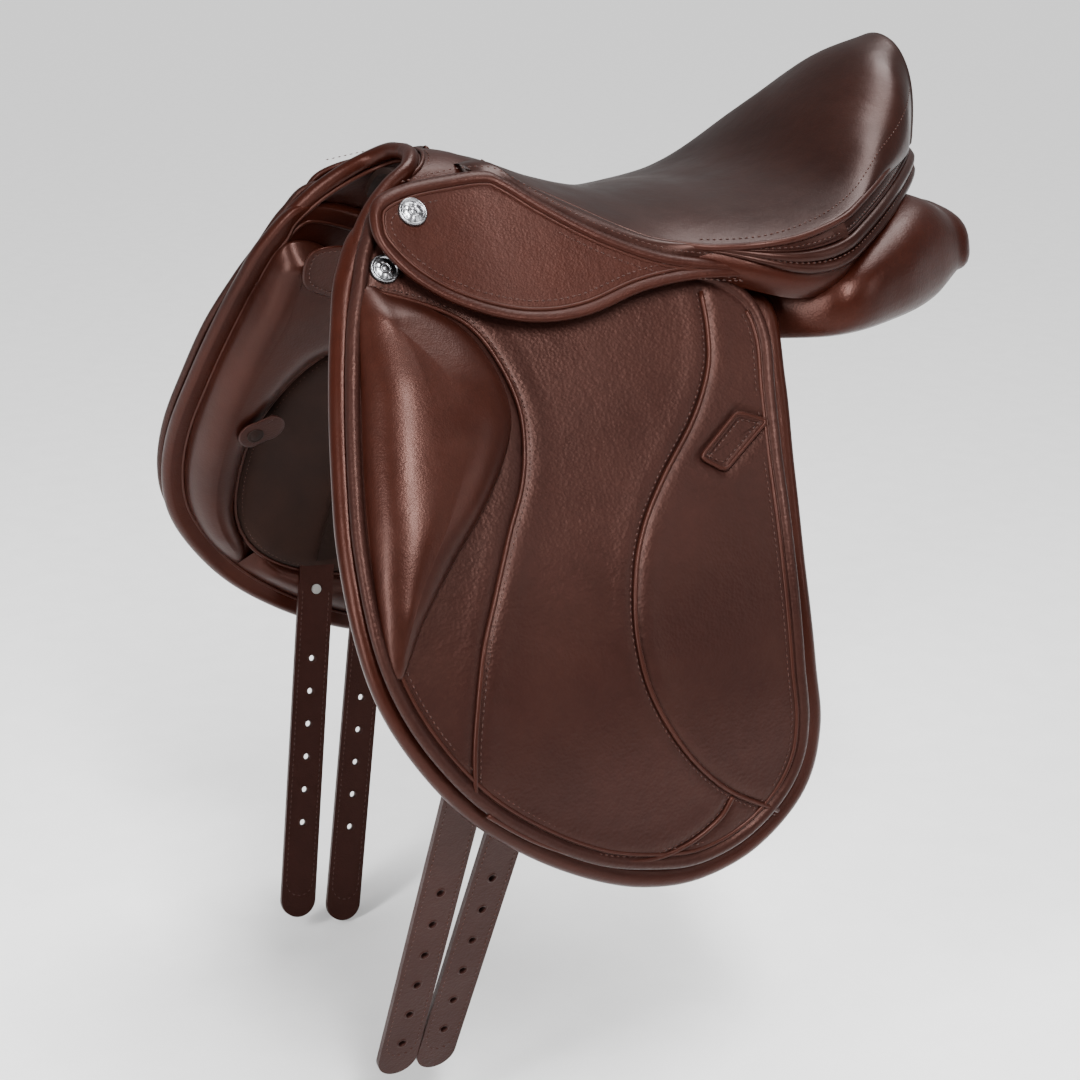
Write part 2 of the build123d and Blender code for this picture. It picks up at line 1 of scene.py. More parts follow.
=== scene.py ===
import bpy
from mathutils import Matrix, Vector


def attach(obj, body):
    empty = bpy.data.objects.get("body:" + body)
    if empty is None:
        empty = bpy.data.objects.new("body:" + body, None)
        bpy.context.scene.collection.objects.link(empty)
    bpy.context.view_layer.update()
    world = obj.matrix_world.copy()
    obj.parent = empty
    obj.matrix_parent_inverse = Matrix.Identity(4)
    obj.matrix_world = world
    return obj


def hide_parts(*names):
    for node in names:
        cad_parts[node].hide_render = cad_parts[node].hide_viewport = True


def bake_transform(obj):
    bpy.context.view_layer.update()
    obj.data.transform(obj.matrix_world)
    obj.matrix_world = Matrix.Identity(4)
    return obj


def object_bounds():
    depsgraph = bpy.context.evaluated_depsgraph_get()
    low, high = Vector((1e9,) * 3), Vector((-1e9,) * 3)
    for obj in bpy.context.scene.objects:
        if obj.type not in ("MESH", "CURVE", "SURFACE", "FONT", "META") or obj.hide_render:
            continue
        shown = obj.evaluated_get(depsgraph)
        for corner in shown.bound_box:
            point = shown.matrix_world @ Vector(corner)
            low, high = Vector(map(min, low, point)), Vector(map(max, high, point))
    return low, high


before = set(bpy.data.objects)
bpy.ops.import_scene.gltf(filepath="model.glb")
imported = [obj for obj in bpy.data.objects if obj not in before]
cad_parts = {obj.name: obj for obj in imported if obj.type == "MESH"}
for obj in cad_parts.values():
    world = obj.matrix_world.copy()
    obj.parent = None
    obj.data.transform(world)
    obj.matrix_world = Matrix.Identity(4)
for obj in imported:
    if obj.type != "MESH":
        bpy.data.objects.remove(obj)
CAD_BOX = [list(corner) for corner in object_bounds()]

from math import atan2, cos, pi, radians, sin, sqrt, tan

import bmesh
import bpy
import numpy as np
from mathutils import Vector

MM = 0.001
SIDES = (("left", 1), ("right", -1))

# ---------------------------------------------------------------- flank surface, millimetres
# Each section: bend point, angle of the slope's normal, barrel radius, angle of the lower run's normal.
FRONT = ((176, -90), 34, 330, 6)
REAR = ((190, -90), 26, 407, 4)
FLARE_Y = (-200, 60)
FLARE_EASE = 0.08
FLARE_LIMIT = 1.15
FOLD_YZ = ((-255, 88), (-30, 50))
FOLD_LAYER = 29
# Directions away from the horse on the two flanks.
OUT = {1: Vector((0.88, 0, 0.47)), -1: Vector((-0.88, 0, 0.47))}


def section_x(section, z, d):
    """X of a flank section at height z, on the layer d outward from the flank."""
    (bend_x, bend_z), slope, barrel, lower = section
    slope, lower = radians(slope), radians(lower)
    centre_x = bend_x - barrel * cos(slope)
    centre_z = bend_z - barrel * sin(slope)
    low_x = centre_x + (barrel + d) * cos(lower)
    low_z = centre_z + (barrel + d) * sin(lower)
    if z >= bend_z + d * sin(slope):
        return bend_x + d * cos(slope) - (z - bend_z - d * sin(slope)) * tan(slope)
    if z <= low_z:
        return low_x + (low_z - z) * tan(lower)
    return centre_x + sqrt((barrel + d) ** 2 - (z - centre_z) ** 2)


def flank(y, z, d, side=1):
    """Point of a layer of the flank."""
    share = (y - FLARE_Y[0]) / (FLARE_Y[1] - FLARE_Y[0])
    if abs(share) < FLARE_EASE:
        share = (share + FLARE_EASE) ** 2 / (4 * FLARE_EASE)
    else:
        share = min(max(share, 0), FLARE_LIMIT)
    x = (1 - share) * section_x(FRONT, z, d) + share * section_x(REAR, z, d)
    return Vector((side * x, y, z))


def fold_line(side):
    """Point on the fold that the flap and the skirt hang from, and the direction up across it."""
    front, rear = (flank(y, z, FOLD_LAYER, side) for y, z in FOLD_YZ)
    along = (rear - front).normalized()
    up = Vector((-0.5 * side, 0, 0.86))
    return front, (up - along * up.dot(along)).normalized()


# ---------------------------------------------------------------- curves
CURVE_STEPS = 24


def smooth(points, count, closed=False):
    """Evenly spaced points on the Catmull-Rom curve through these points."""
    points = [Vector(p) for p in points]
    n = len(points)
    dense = []
    spans = n if closed else n - 1
    for i in range(spans):
        if closed:
            a, b, c, e = (points[(i + k - 1) % n] for k in range(4))
        else:
            b, c = points[i], points[i + 1]
            a = points[i - 1] if i else 2 * b - c
            e = points[i + 2] if i + 2 < n else 2 * c - b
        for k in range(CURVE_STEPS):
            t = k / CURVE_STEPS
            dense.append(0.5 * (2 * b + (c - a) * t + (2 * a - 5 * b + 4 * c - e) * t ** 2
                                + (3 * b - a - 3 * c + e) * t ** 3))
    dense.append(points[0] if closed else points[-1])
    return respace(dense, count, closed)


def respace(dense, count, closed=False):
    """The same line with its points evenly spaced."""
    lengths = [0]
    for p, q in zip(dense, dense[1:]):
        lengths.append(lengths[-1] + (q - p).length)
    steps = count if closed else count - 1
    result, j = [], 0
    for i in range(count):
        want = lengths[-1] * i / steps
        while j < len(lengths) - 2 and lengths[j + 1] < want:
            j += 1
        gap = lengths[j + 1] - lengths[j]
        result.append(dense[j].lerp(dense[j + 1], (want - lengths[j]) / gap if gap else 0))
    return result


def curve_at(table, value):
    """Smooth value of a table of (key, value) pairs, with the ends held."""
    if value <= table[0][0]:
        return table[0][1]
    for (a, p), (b, q) in zip(table, table[1:]):
        if value <= b:
            t = (value - a) / (b - a)
            return p + (q - p) * t * t * (3 - 2 * t)
    return table[-1][1]


def catmull(table, value):
    """Smooth interpolation of (key, value) pairs that passes through every pair."""
    for i in range(len(table) - 1):
        if value <= table[i + 1][0] or i == len(table) - 2:
            (a, p), (b, q) = table[i], table[i + 1]
            before = table[i - 1] if i else (2 * a - b, 2 * p - q)
            after = table[i + 2] if i + 2 < len(table) else (2 * b - a, 2 * q - p)
            t = (value - a) / (b - a)
            m = (q - before[1]) / (b - before[0]) * (b - a)
            n = (after[1] - p) / (after[0] - a) * (b - a)
            return ((2 * t ** 3 - 3 * t ** 2 + 1) * p + (t ** 3 - 2 * t ** 2 + t) * m
                    + (3 * t ** 2 - 2 * t ** 3) * q + (t ** 3 - t ** 2) * n)


def inset(outline, distance):
    """Closed outline moved inward by a distance, along its own normals."""
    n = len(outline)
    area = sum(outline[i].x * outline[(i + 1) % n].y - outline[(i + 1) % n].x * outline[i].y
               for i in range(n))
    turn = 1 if area > 0 else -1
    moved = []
    for i in range(n):
        along = outline[(i + 1) % n] - outline[i - 1]
        normal = Vector((-along.y, along.x)) * turn
        moved.append(outline[i] + normal.normalized() * distance)
    return moved


def beside(path, distance):
    """Open (y, z) path moved sideways."""
    moved = []
    for i, p in enumerate(path):
        along = path[min(i + 1, len(path) - 1)] - path[max(i - 1, 0)]
        moved.append(p + Vector((-along.y, along.x)).normalized() * distance)
    return moved


def looped(line):
    """Closed line with its first point repeated at the end."""
    return line + line[:1]


def opened(loop, keep):
    """The part of a closed line where keep(p) holds, starting after its widest gap."""
    line = [p for p in loop if keep(p)]
    start = max(range(len(line)), key=lambda i: (line[i] - line[i - 1]).length)
    return line[start:] + line[:start]


def flat(points, count, closed=False):
    """Smooth (y, z) curve."""
    return smooth([Vector(p) for p in points], count, closed)


def laid(path, d, side):
    """(y, z) path laid on a layer of the flank."""
    return [flank(p.x, p.y, d, side) for p in path]


def outward(path, i):
    """Level direction away from the seat at one point of a path round it."""
    along = path[min(i + 1, len(path) - 1)] - path[max(i - 1, 0)]
    return Vector((along.y, -along.x, 0)).normalized()


def rounded(corners, times=3):
    """Closed polygon with its corners cut."""
    for _ in range(times):
        corners = [q for i, p in enumerate(corners)
                   for q in (p.lerp(corners[(i + 1) % len(corners)], 0.22),
                             p.lerp(corners[(i + 1) % len(corners)], 0.78))]
    return corners


def gap_to(lines, y, z):
    """Distance in millimetres from each point to the nearest of the (y, z) lines."""
    best = np.full(np.shape(y), 1e9)
    for line in lines:
        for p, q in zip(line, line[1:]):
            dy, dz = q.x - p.x, q.y - p.y
            t = np.clip(((y - p.x) * dy + (z - p.y) * dz) / (dy * dy + dz * dz + 1e-9), 0, 1)
            best = np.minimum(best, np.hypot(y - p.x - t * dy, z - p.y - t * dz))
    return best


def nearest_on(line, p):
    """Point of a line nearest to p."""
    best = None
    for a, b in zip(line, line[1:]):
        span = b - a
        t = min(max((p - a).dot(span) / span.length_squared, 0), 1)
        spot = a + span * t
        if best is None or (spot - p).length < (best - p).length:
            best = spot
    return best


# ---------------------------------------------------------------- mesh helpers
def make(name, verts, faces, material, body="root", slot=None):
    """Smooth mesh piece through points in millimetres; it rides on a body, if one is given."""
    mesh = bpy.data.meshes.new(name)
    mesh.from_pydata([Vector(v) * MM for v in verts], [], faces)
    bm = bmesh.new()
    bm.from_mesh(mesh)
    bmesh.ops.remove_doubles(bm, verts=bm.verts, dist=1e-6)
    bmesh.ops.recalc_face_normals(bm, faces=bm.faces)
    bm.to_mesh(mesh)
    bm.free()
    for polygon in mesh.polygons:
        polygon.use_smooth = True
    piece = bpy.data.objects.new(name, mesh)
    bpy.context.collection.objects.link(piece)
    mesh.materials.append(material)
    if body:
        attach(piece, body)
    return piece


def grid_faces(rows, columns, wrap=False, start=0):
    """Quads between rows of points, each with this many columns."""
    faces = []
    for r in range(rows - 1):
        for c in range(columns if wrap else columns - 1):
            a = start + r * columns + c
            b = start + r * columns + (c + 1) % columns
            faces.append((a, b, b + columns, a + columns))
    return faces


def loft(name, rings, material, **options):
    """Piece through closed rings of points, with its ends closed."""
    columns = len(rings[0])
    verts = [p for ring in rings for p in ring]
    faces = grid_faces(len(rings), columns, wrap=True)
    for start, ring in ((0, rings[0]), ((len(rings) - 1) * columns, rings[-1])):
        hub = len(verts)
        verts.append(sum(ring, Vector()) / columns)
        faces += [(hub, start + c, start + (c + 1) % columns) for c in range(columns)]
    return make(name, verts, faces, material, **options)


def swept(name, path, profile, material, ease=None, **options):
    """Band along a path; the profile gives (out, up) points in millimetres."""
    rows = []
    for i, p in enumerate(path):
        out = outward(path, i)
        size = ease[i] if ease else 1
        rows.append([p + (out * w + Vector((0, 0, h))) * size for w, h in profile])
    return make(name, [p for row in zip(*rows) for p in row],
                grid_faces(len(profile), len(path)), material, **options)


def turned(profile, middle, axis, across, up, sides, ripple=lambda radius, angle: 0):
    """Points of a turned shape: one ring of points for each (radius, height)."""
    verts = []
    for radius, height in profile:
        for k in range(sides):
            angle = 2 * pi * k / sides
            verts.append(middle + axis * (height + ripple(radius, angle))
                         + (across * cos(angle) + up * sin(angle)) * radius)
    return verts


STITCH_PITCH = 4.2
STITCH_SIZE = (1.45, 0.5, 0.42)      # half length, half width, half height


def stitches(name, paths, body="root", **options):
    """Run of single thread stitches along each path; a path is (points, outward direction)."""
    verts, faces = [], []
    for path, outward in paths:
        length = sum((q - p).length for p, q in zip(path, path[1:]))
        marks = respace(path, max(2, int(length / STITCH_PITCH)))
        for p, q in zip(marks, marks[1:]):
            along = (q - p).normalized()
            across = along.cross(outward).normalized()
            up = across.cross(along)
            middle = (p + q) / 2
            start = len(verts)
            long, wide, tall = STITCH_SIZE
            verts += [middle + along * long, middle - along * long, middle + across * wide,
                      middle - across * wide, middle + up * tall, middle - up * tall]
            for a in (0, 1):
                for b in (2, 3):
                    for c in (4, 5):
                        faces.append((start + a, start + b, start + c))
    return make(name, verts, faces, THREAD, body=body, slot="thread", **options)


def edge_profile(base, roll, back, steps=7):
    """Edge of a sheet as (distance in, layer) pairs: outer face, rolled edge, inner face."""
    middle = (base + back) / 2
    outer = []
    for k in range(steps + 1):
        angle = pi / 2 * k / steps
        outer.append((roll * (1 - cos(angle)), middle + roll * sin(angle)))
    for k in range(1, 4):
        angle = pi / 2 * (1 + k / 4)
        outer.append((roll * (1 - cos(angle)), max(middle + roll * sin(angle), base)))
    outer.append((2 * roll + 0.3, base - 0.7))
    outer.append((2 * roll + 1.6, base))
    inner = [(w, 2 * middle - d) for w, d in outer[1:steps]]
    inner.append((2 * roll + 1.6, back))
    return outer, inner


def put_on(label, piece, end_body=None):
    """Bake a piece's placement into its mesh."""
    end_body = end_body or f"flap_{label}"
    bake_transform(piece)


SPINE_EASING = 30
TOP_EASING = 14


def cushion(name, outline, spine, base, height, material, side, reach=26, sign=1, rows=22, **options):
    """Padded shape on the flank: rises from its outline as a rounded roll of this reach.

    height is a table of (z, height) pairs.
    """
    targets = [nearest_on(spine, p) for p in outline]
    n = len(targets)
    for _ in range(SPINE_EASING):
        targets = [(targets[i - 1] + targets[i] * 2 + targets[(i + 1) % n]) / 4 for i in range(n)]
    verts, rings, lifts = [], [], []
    edge = looped(outline)
    for r in range(rows + 1):
        ring = [p.lerp(t, (r / rows) ** 1.25) for p, t in zip(outline, targets)]
        y, z = np.array([p.x for p in ring]), np.array([p.y for p in ring])
        depth = np.clip(gap_to([edge], y, z) / reach, 0, 1) if r else np.zeros(n)
        rings.append(ring)
        lifts.append(np.sqrt(1 - (1 - depth) ** 2.2))
    lifts = np.array(lifts)
    for _ in range(TOP_EASING):
        around = (np.roll(lifts, 1, 1) + np.roll(lifts, -1, 1)) / 2
        soft = (lifts * 2 + around * 2) / 4
        soft[4:-1] = (soft[4:-1] * 2 + lifts[3:-2] + lifts[5:]) / 4
        lifts[4:] = soft[4:]
    for ring, lift in zip(rings, lifts):
        verts += [flank(p.x, p.y, base + sign * curve_at(height, p.y) * float(k), side)
                  for p, k in zip(ring, lift)]
    faces = grid_faces(rows + 1, n, wrap=True)
    faces.append(tuple(rows * n + k for k in range(n)))
    return make(name, verts, faces, material, **options)


def pieces_of(paths, sides=10):
    """Vertices and faces of several round rolls; each is (path, radius, closed)."""
    verts, faces = [], []
    for path, radius, closed in paths:
        start, n = len(verts), len(path)
        normal = None
        for i, p in enumerate(path):
            ahead = path[(i + 1) % n] if closed or i < n - 1 else p
            behind = path[i - 1] if closed or i else p
            along = (ahead - behind).normalized()
            normal = normal or along.orthogonal()
            normal = (normal - along * normal.dot(along)).normalized()
            across = along.cross(normal)
            size = radius(i / (n - 1)) if callable(radius) else radius
            verts += [p + (normal * cos(2 * pi * k / sides) + across * sin(2 * pi * k / sides)) * size
                      for k in range(sides)]
        faces += grid_faces(n, sides, wrap=True, start=start)
        if closed:
            last = start + (n - 1) * sides
            faces += [(last + k, last + (k + 1) % sides, start + (k + 1) % sides, start + k)
                      for k in range(sides)]
        else:
            faces += [tuple(start + k for k in range(sides)),
                      tuple(start + (n - 1) * sides + k for k in range(sides))]
    return verts, faces


def rolls(name, paths, material, **options):
    """Several round rolls as one piece."""
    return make(name, *pieces_of(paths), material, **options)


# ---------------------------------------------------------------- materials
class Surface:
    """A new material, with short ways to add the nodes that feed its shader."""

    def __init__(self, name):
        self.material = bpy.data.materials.new(name)
        self.material.use_nodes = True
        self.tree = self.material.node_tree
        self.shader = self.tree.nodes["Principled BSDF"]
        self.place = self.tree.nodes.new("ShaderNodeTexCoord").outputs["Object"]

    def fill(self, node, inputs):
        """Set a node's inputs, each to a value or to another node's output."""
        for key, value in inputs.items():
            if isinstance(value, bpy.types.NodeSocket):
                self.tree.links.new(value, node.inputs[key])
            else:
                node.inputs[key].default_value = value
        return node

    def add(self, kind, inputs):
        """New node of this kind with its inputs set."""
        return self.fill(self.tree.nodes.new(f"ShaderNode{kind}"), inputs)

    def noise(self, scale, detail, roughness=0.5):
        """Noise in the object's own space."""
        return self.add("TexNoise", {"Vector": self.place, "Scale": scale, "Detail": detail,
                                     "Roughness": roughness}).outputs["Fac"]

    def tone(self, source, stops):
        """Colour ramp through (place, colour) stops."""
        ramp = self.add("ValToRGB", {"Fac": source})
        for element, (place, colour) in zip(ramp.color_ramp.elements, stops):
            element.position, element.color = place, (*colour, 1)
        return ramp.outputs["Color"]

    def bump(self, height, strength, distance, below=None):
        """Relief from a height, on top of the relief below it."""
        inputs = {"Height": height, "Strength": strength, "Distance": distance}
        if below:
            inputs["Normal"] = below
        return self.add("Bump", inputs).outputs["Normal"]

    def polish(self, source, low, high, start=0, end=1):
        """Roughness from low to high as the source goes from start to end."""
        return self.add("MapRange", {"Value": source, "From Min": start, "From Max": end,
                                     "To Min": low, "To Max": high}).outputs["Result"]


def leather(name, dark, light, roughness, grain, bump, coat):
    """Finished leather: cloudy dye, pores and creases, uneven polish."""
    surface = Surface(name)
    dye = surface.tone(surface.noise(9, 6, 0.62), ((0.32, dark), (0.7, light)))
    worn = surface.add("MixRGB", {"Fac": 0.35, "Color1": dye, "Color2": surface.noise(160, 4, 0.55)})
    worn.blend_type = "MULTIPLY"
    pores = surface.add("TexVoronoi", {"Vector": surface.place, "Scale": grain})
    relief = surface.add("Math", {0: pores.outputs["Distance"], 1: 0.6,
                                  2: surface.noise(grain * 0.45, 3, 0.55)})
    relief.operation = "MULTIPLY_ADD"
    fine = surface.bump(relief.outputs["Value"], bump, 0.0006)
    surface.fill(surface.shader, {
        "Base Color": worn.outputs["Color"],
        "Roughness": surface.polish(surface.noise(26, 5, 0.55), roughness - 0.06, roughness + 0.07,
                                    0.3, 0.7),
        "Normal": surface.bump(surface.noise(38, 3, 0.55), 0.3, 0.0015, fine),
        "Coat Weight": coat, "Coat Roughness": 0.3,
        "Specular IOR Level": 0.18, "Specular Tint": (1.0, 0.52, 0.43, 1)})
    return surface.material


def fabric(name, colour, roughness, scale, bump, sheen, metallic=0.0, contrast=0.26):
    """Fibrous or worked surface: colour mottling, fine relief and a soft sheen."""
    surface = Surface(name)
    dark, light = ([min(c * (1 + k), 1) for c in colour] for k in (-contrast, contrast))
    fibre = surface.noise(scale, 5)
    surface.fill(surface.shader, {
        "Base Color": surface.tone(surface.noise(24, 8), ((0.3, dark), (0.72, light))),
        "Roughness": surface.polish(fibre, roughness - 0.08, roughness + 0.08),
        "Normal": surface.bump(fibre, bump, 0.0005),
        "Specular IOR Level": 0.5 if metallic else 0.08,
        "Sheen Weight": sheen, "Metallic": metallic})
    return surface.material


SEAT = leather("seat leather", (0.0085, 0.0022, 0.0015), (0.0153, 0.0043, 0.0028), 0.34, 900, 0.10, 0.05)
FLAP = leather("flap leather", (0.0117, 0.0039, 0.0031), (0.0189, 0.0066, 0.0050), 0.42, 430, 0.5, 0.025)
SKIRT = leather("skirt leather", (0.0116, 0.0022, 0.0013), (0.0189, 0.0040, 0.0022), 0.42, 620, 0.3, 0.04)
PANEL = leather("panel leather", (0.0127, 0.0024, 0.0012), (0.0225, 0.0044, 0.0022), 0.34, 700, 0.2, 0.04)
BLOCK = leather("block leather", (0.0123, 0.0029, 0.0018), (0.0220, 0.0055, 0.0033), 0.34, 760, 0.16, 0.05)
STRAP = leather("strap leather", (0.0110, 0.0035, 0.0027), (0.0180, 0.0057, 0.0044), 0.45, 600, 0.35, 0.025)
PIPING = leather("piping leather", (0.0166, 0.0043, 0.0029), (0.0267, 0.0075, 0.0047), 0.38, 900, 0.15, 0.05)
LINING = fabric("lining suede", (0.0120, 0.0042, 0.0024), 0.85, 900, 0.6, 0.04)
THREAD = fabric("thread", (0.040, 0.0125, 0.0080), 0.7, 3000, 0.3, 0.1)
CHROME = fabric("stud metal", (0.24, 0.24, 0.25), 0.26, 400, 0.01, 0.0, 1.0)
STEEL = fabric("bar steel", (0.50, 0.49, 0.47), 0.34, 700, 0.12, 0.0, 1.0)
DARK_STEEL = fabric("head steel", (0.008, 0.0035, 0.0025), 0.6, 500, 0.2, 0.0)
BOARD = fabric("tree board", (0.30, 0.17, 0.08), 0.6, 300, 0.4, 0.0)
WEB = fabric("webbing", (0.008, 0.0035, 0.0022), 0.85, 1600, 0.8, 0.0)
FOAM = fabric("foam", (0.60, 0.52, 0.34), 0.85, 1200, 0.7, 0.1)

# ---------------------------------------------------------------- outlines, (y, z) in millimetres
SWEAT = [(-274, 63), (-287, 32), (-299, -5), (-310, -48), (-318, -89), (-319, -132), (-311, -172),
         (-290, -212), (-260, -249), (-220, -281), (-178, -305), (-142, -318), (-104, -322),
         (-64, -313), (-32, -292), (-14, -267), (-7, -233), (-9, -192), (-8, -128), (-1, -74),
         (8, -19), (10, 30), (-25, 40), (-60, 45), (-120, 56), (-165, 62), (-205, 78), (-250, 88)]
FLAP_EDGE = [(-276, 57), (-286, 35), (-298, -2), (-309, -44), (-317, -85), (-318, -128),
             (-310, -165), (-291, -202), (-261, -239), (-223, -269), (-184, -291), (-149, -302),
             (-113, -307), (-77, -299), (-48, -280), (-30, -255), (-24, -225), (-25, -185),
             (-22, -123), (-16, -69), (-9, -24), (-3, 10), (-8, 34), (-26, 50), (-60, 62), (-110, 80),
             (-165, 100), (-240, 103), (-262, 84)]
SKIRT_EDGE = [(-253, 107), (-259, 93), (-256, 79), (-241, 61), (-218, 46), (-188, 35), (-159, 31),
              (-128, 34), (-90, 45), (-54, 50), (-18, 50), (26, 51), (52, 56), (50, 62), (20, 59),
              (-30, 62), (-70, 68), (-107, 82), (-139, 100), (-164, 117), (-176, 121), (-202, 119),
              (-232, 115)]
SKIRT_SPINE = [(-236, 92), (-205, 78), (-165, 68), (-120, 60), (-70, 56), (-20, 55), (40, 56)]
FRONT_SEAM = [(-274, 56), (-249, 50), (-218, 38), (-202, 25), (-192, 4), (-188, -19), (-192, -41),
              (-201, -62), (-218, -87), (-236, -118), (-251, -149), (-263, -194), (-267, -230)]
REAR_SEAM = [(-44, 41), (-46, 18), (-53, -6), (-72, -34), (-104, -66), (-126, -92), (-139, -119),
             (-145, -154), (-139, -191), (-117, -231), (-87, -262), (-49, -284)]
LOW_SEAM = [(-265, -238), (-226, -267), (-185, -287), (-149, -296), (-119, -292), (-95, -280),
            (-84, -267)]
BLOCK_EDGE = [(-273, 55), (-252, 51), (-231, 43), (-211, 29), (-199, 9), (-195, -12), (-199, -29),
              (-213, -50), (-234, -72), (-257, -93), (-284, -122), (-306, -153), (-312, -129),
              (-309, -86), (-301, -45), (-290, -3)]
BLOCK_SPINE = [(-258, 34), (-240, 12), (-233, -14), (-246, -44), (-268, -76), (-292, -110),
               (-303, -138)]
PATCH = [(-74, -56), (-40, -32), (-20, -39), (-59, -65)]
LINING_EDGE = [(-196, -26), (-228, -40), (-252, -72), (-265, -110), (-268, -170), (-252, -212),
               (-215, -240), (-160, -254), (-100, -252), (-55, -232), (-34, -180), (-30, -110),
               (-40, -50), (-110, -20)]
ROLL_SPINE = [(-252, 46), (-262, 0), (-282, -60), (-290, -120), (-286, -175), (-268, -206)]
KNEE_ROLL = [(-262, 62), (-278, 32), (-290, -5), (-301, -48), (-308, -90), (-309, -132),
             (-302, -168), (-284, -205), (-262, -228), (-256, -212), (-267, -170), (-264, -110),
             (-251, -72), (-227, -40), (-196, -26), (-204, 10), (-228, 52)]


SKIRT_TOP_SEAM = [(-232, 112), (-202, 117), (-176, 119), (-164, 115), (-139, 98), (-107, 80),
                  (-70, 66), (-30, 60), (20, 57)]
POCKET_EDGE = [(-256, 58), (-232, 62), (-196, 52), (-196, 30), (-210, 16), (-236, 22), (-256, 34)]
LINING_SPINE = [(-190, -90), (-140, -140), (-90, -140)]
SHORTER_BELOW_Z = -150
SHORTER_SHARE = 0.90
REACH = 6
REACH_TABLE = [(-220, 0), (-150, 1), (10, 1), (50, 0)]
REACH_AHEAD_OF_Y = -240


def hang(points, side):
    """The right flap hangs a little shorter than the left one."""
    if side > 0:
        return points
    return [(y, z if z > SHORTER_BELOW_Z else SHORTER_BELOW_Z + (z - SHORTER_BELOW_Z) * SHORTER_SHARE)
            for y, z in points]


def reach(points, side):
    """The right flap shows a little in front of its sweat flap."""
    if side > 0:
        return points
    return [(y - (REACH * curve_at(REACH_TABLE, z) if y < REACH_AHEAD_OF_Y else 0), z)
            for y, z in points]


# ---------------------------------------------------------------- leather on the flank
BACK_SHELLS = 8
INNER_EASING = 10


def leather_face(name, outline, base, back, roll, material, side, relief=None, spine=None,
                 shells=60, **options):
    """Leather on the flank with a rolled edge; its outer face is finely divided for relief."""
    outer, inner = edge_profile(base, roll, back)
    inner_line = inset(outline, outer[-1][0])
    for _ in range(INNER_EASING):
        inner_line = [(inner_line[i - 1] + p * 2 + inner_line[(i + 1) % len(inner_line)]) / 4
                      for i, p in enumerate(inner_line)]
    centre = sum(outline, Vector((0, 0))) / len(outline)
    targets = [nearest_on(spine, p) if spine else centre for p in inner_line]
    rows = []
    for shell in range(BACK_SHELLS, 0, -1):
        rows.append(([p.lerp(t, shell / BACK_SHELLS) for p, t in zip(inner_line, targets)], back, False))
    rows += [(inset(outline, w), d, False) for w, d in reversed(inner)]
    rows += [(inset(outline, w), d, False) for w, d in outer]
    for shell in range(1, shells + 1):
        rows.append(([p.lerp(t, shell / shells) for p, t in zip(inner_line, targets)], base, True))
    verts = []
    for ring, d, face in rows:
        lifts = [0] * len(ring)
        if face and relief:
            lifts = relief(np.array([p.x for p in ring]), np.array([p.y for p in ring]))
        verts += [flank(p.x, p.y, d + float(lift), side) for p, lift in zip(ring, lifts)]
    return make(name, verts, grid_faces(len(rows), len(outline), wrap=True), material, **options)


def divide(piece, point, normal, keep_upper):
    """Cut a piece along a plane, keeping one half and the shading of the whole."""
    bm = bmesh.new()
    bm.from_mesh(piece.data)
    bmesh.ops.bisect_plane(bm, geom=bm.verts[:] + bm.edges[:] + bm.faces[:], dist=1e-7,
                           plane_co=point, plane_no=normal)
    bm.normal_update()
    whole = {tuple(round(c, 6) for c in v.co): v.normal.copy() for v in bm.verts}
    bmesh.ops.bisect_plane(bm, geom=bm.verts[:] + bm.edges[:] + bm.faces[:], dist=1e-6,
                           plane_co=point, plane_no=normal, clear_outer=not keep_upper,
                           clear_inner=keep_upper)
    bm.to_mesh(piece.data)
    bm.free()
    normals = [whole.get(tuple(round(c, 6) for c in v.co), v.normal) for v in piece.data.vertices]
    piece.data.normals_split_custom_set_from_vertices([tuple(n) for n in normals])


# ---------------------------------------------------------------- flap, block, patch, studs
FLAP_FACE, FLAP_BACK = 15, 11
GROOVE, GROOVE_WIDTH = 1.5, 2.6
SWELL, SWELL_FROM_SEAM, SWELL_WIDTH = 0.7, 9, 7
BLOCK_BASE = 14.2
BLOCK_HEIGHT = [(-150, 9), (-110, 16), (-60, 21), (0, 21), (40, 14), (56, 8)]
PATCH_FACE, PATCH_BACK = 16.2, 14.2
PATCH_CORNER = 3.2
PATCH_THREAD_INSET = 3.6


def build_flap(label, side):
    """Flap leather, creased along its seams, with its piping and thread."""
    front, rear, low = (flat(hang(line, side), 90) for line in (FRONT_SEAM, REAR_SEAM, LOW_SEAM))
    seams = [line[::3] for line in (front, rear, low)] + [[Vector(p) for p in looped(PATCH)]]
    outline = inset(flat(reach(hang(FLAP_EDGE, side), side), 420, closed=True), -1.0)

    def relief(y, z):
        gap = gap_to(seams, y, z)
        return (SWELL * np.exp(-((gap - SWELL_FROM_SEAM) / SWELL_WIDTH) ** 2)
                - GROOVE * np.exp(-(gap / GROOVE_WIDTH) ** 2))

    skin = leather_face(f"flap_skin_{label}", outline, FLAP_FACE, FLAP_BACK, 4.2, FLAP, side, relief,
                        body=None)
    put_on(label, skin)
    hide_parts(f"flap_{label}", f"flap_top_{label}")

    edge = opened(inset(outline, 10.5), lambda p: p.y < (28 if p.x > -150 else 52))
    piping = rolls(f"flap_piping_{label}",
                   [(laid(line, FLAP_FACE, side), 1.7, False) for line in (front, rear, low[3:])]
                   + [(laid(edge, FLAP_FACE - 0.2, side), 1.5, False)], PIPING, body=None)
    put_on(label, piping)
    rows = (beside(front, 3.6), beside(rear, -3.6), beside(low, 3.4), beside(edge, 4.0))
    thread = stitches(f"flap_thread_{label}",
                      [(laid(row, FLAP_FACE + 0.3, side), OUT[side]) for row in rows], body=None)
    put_on(label, thread)


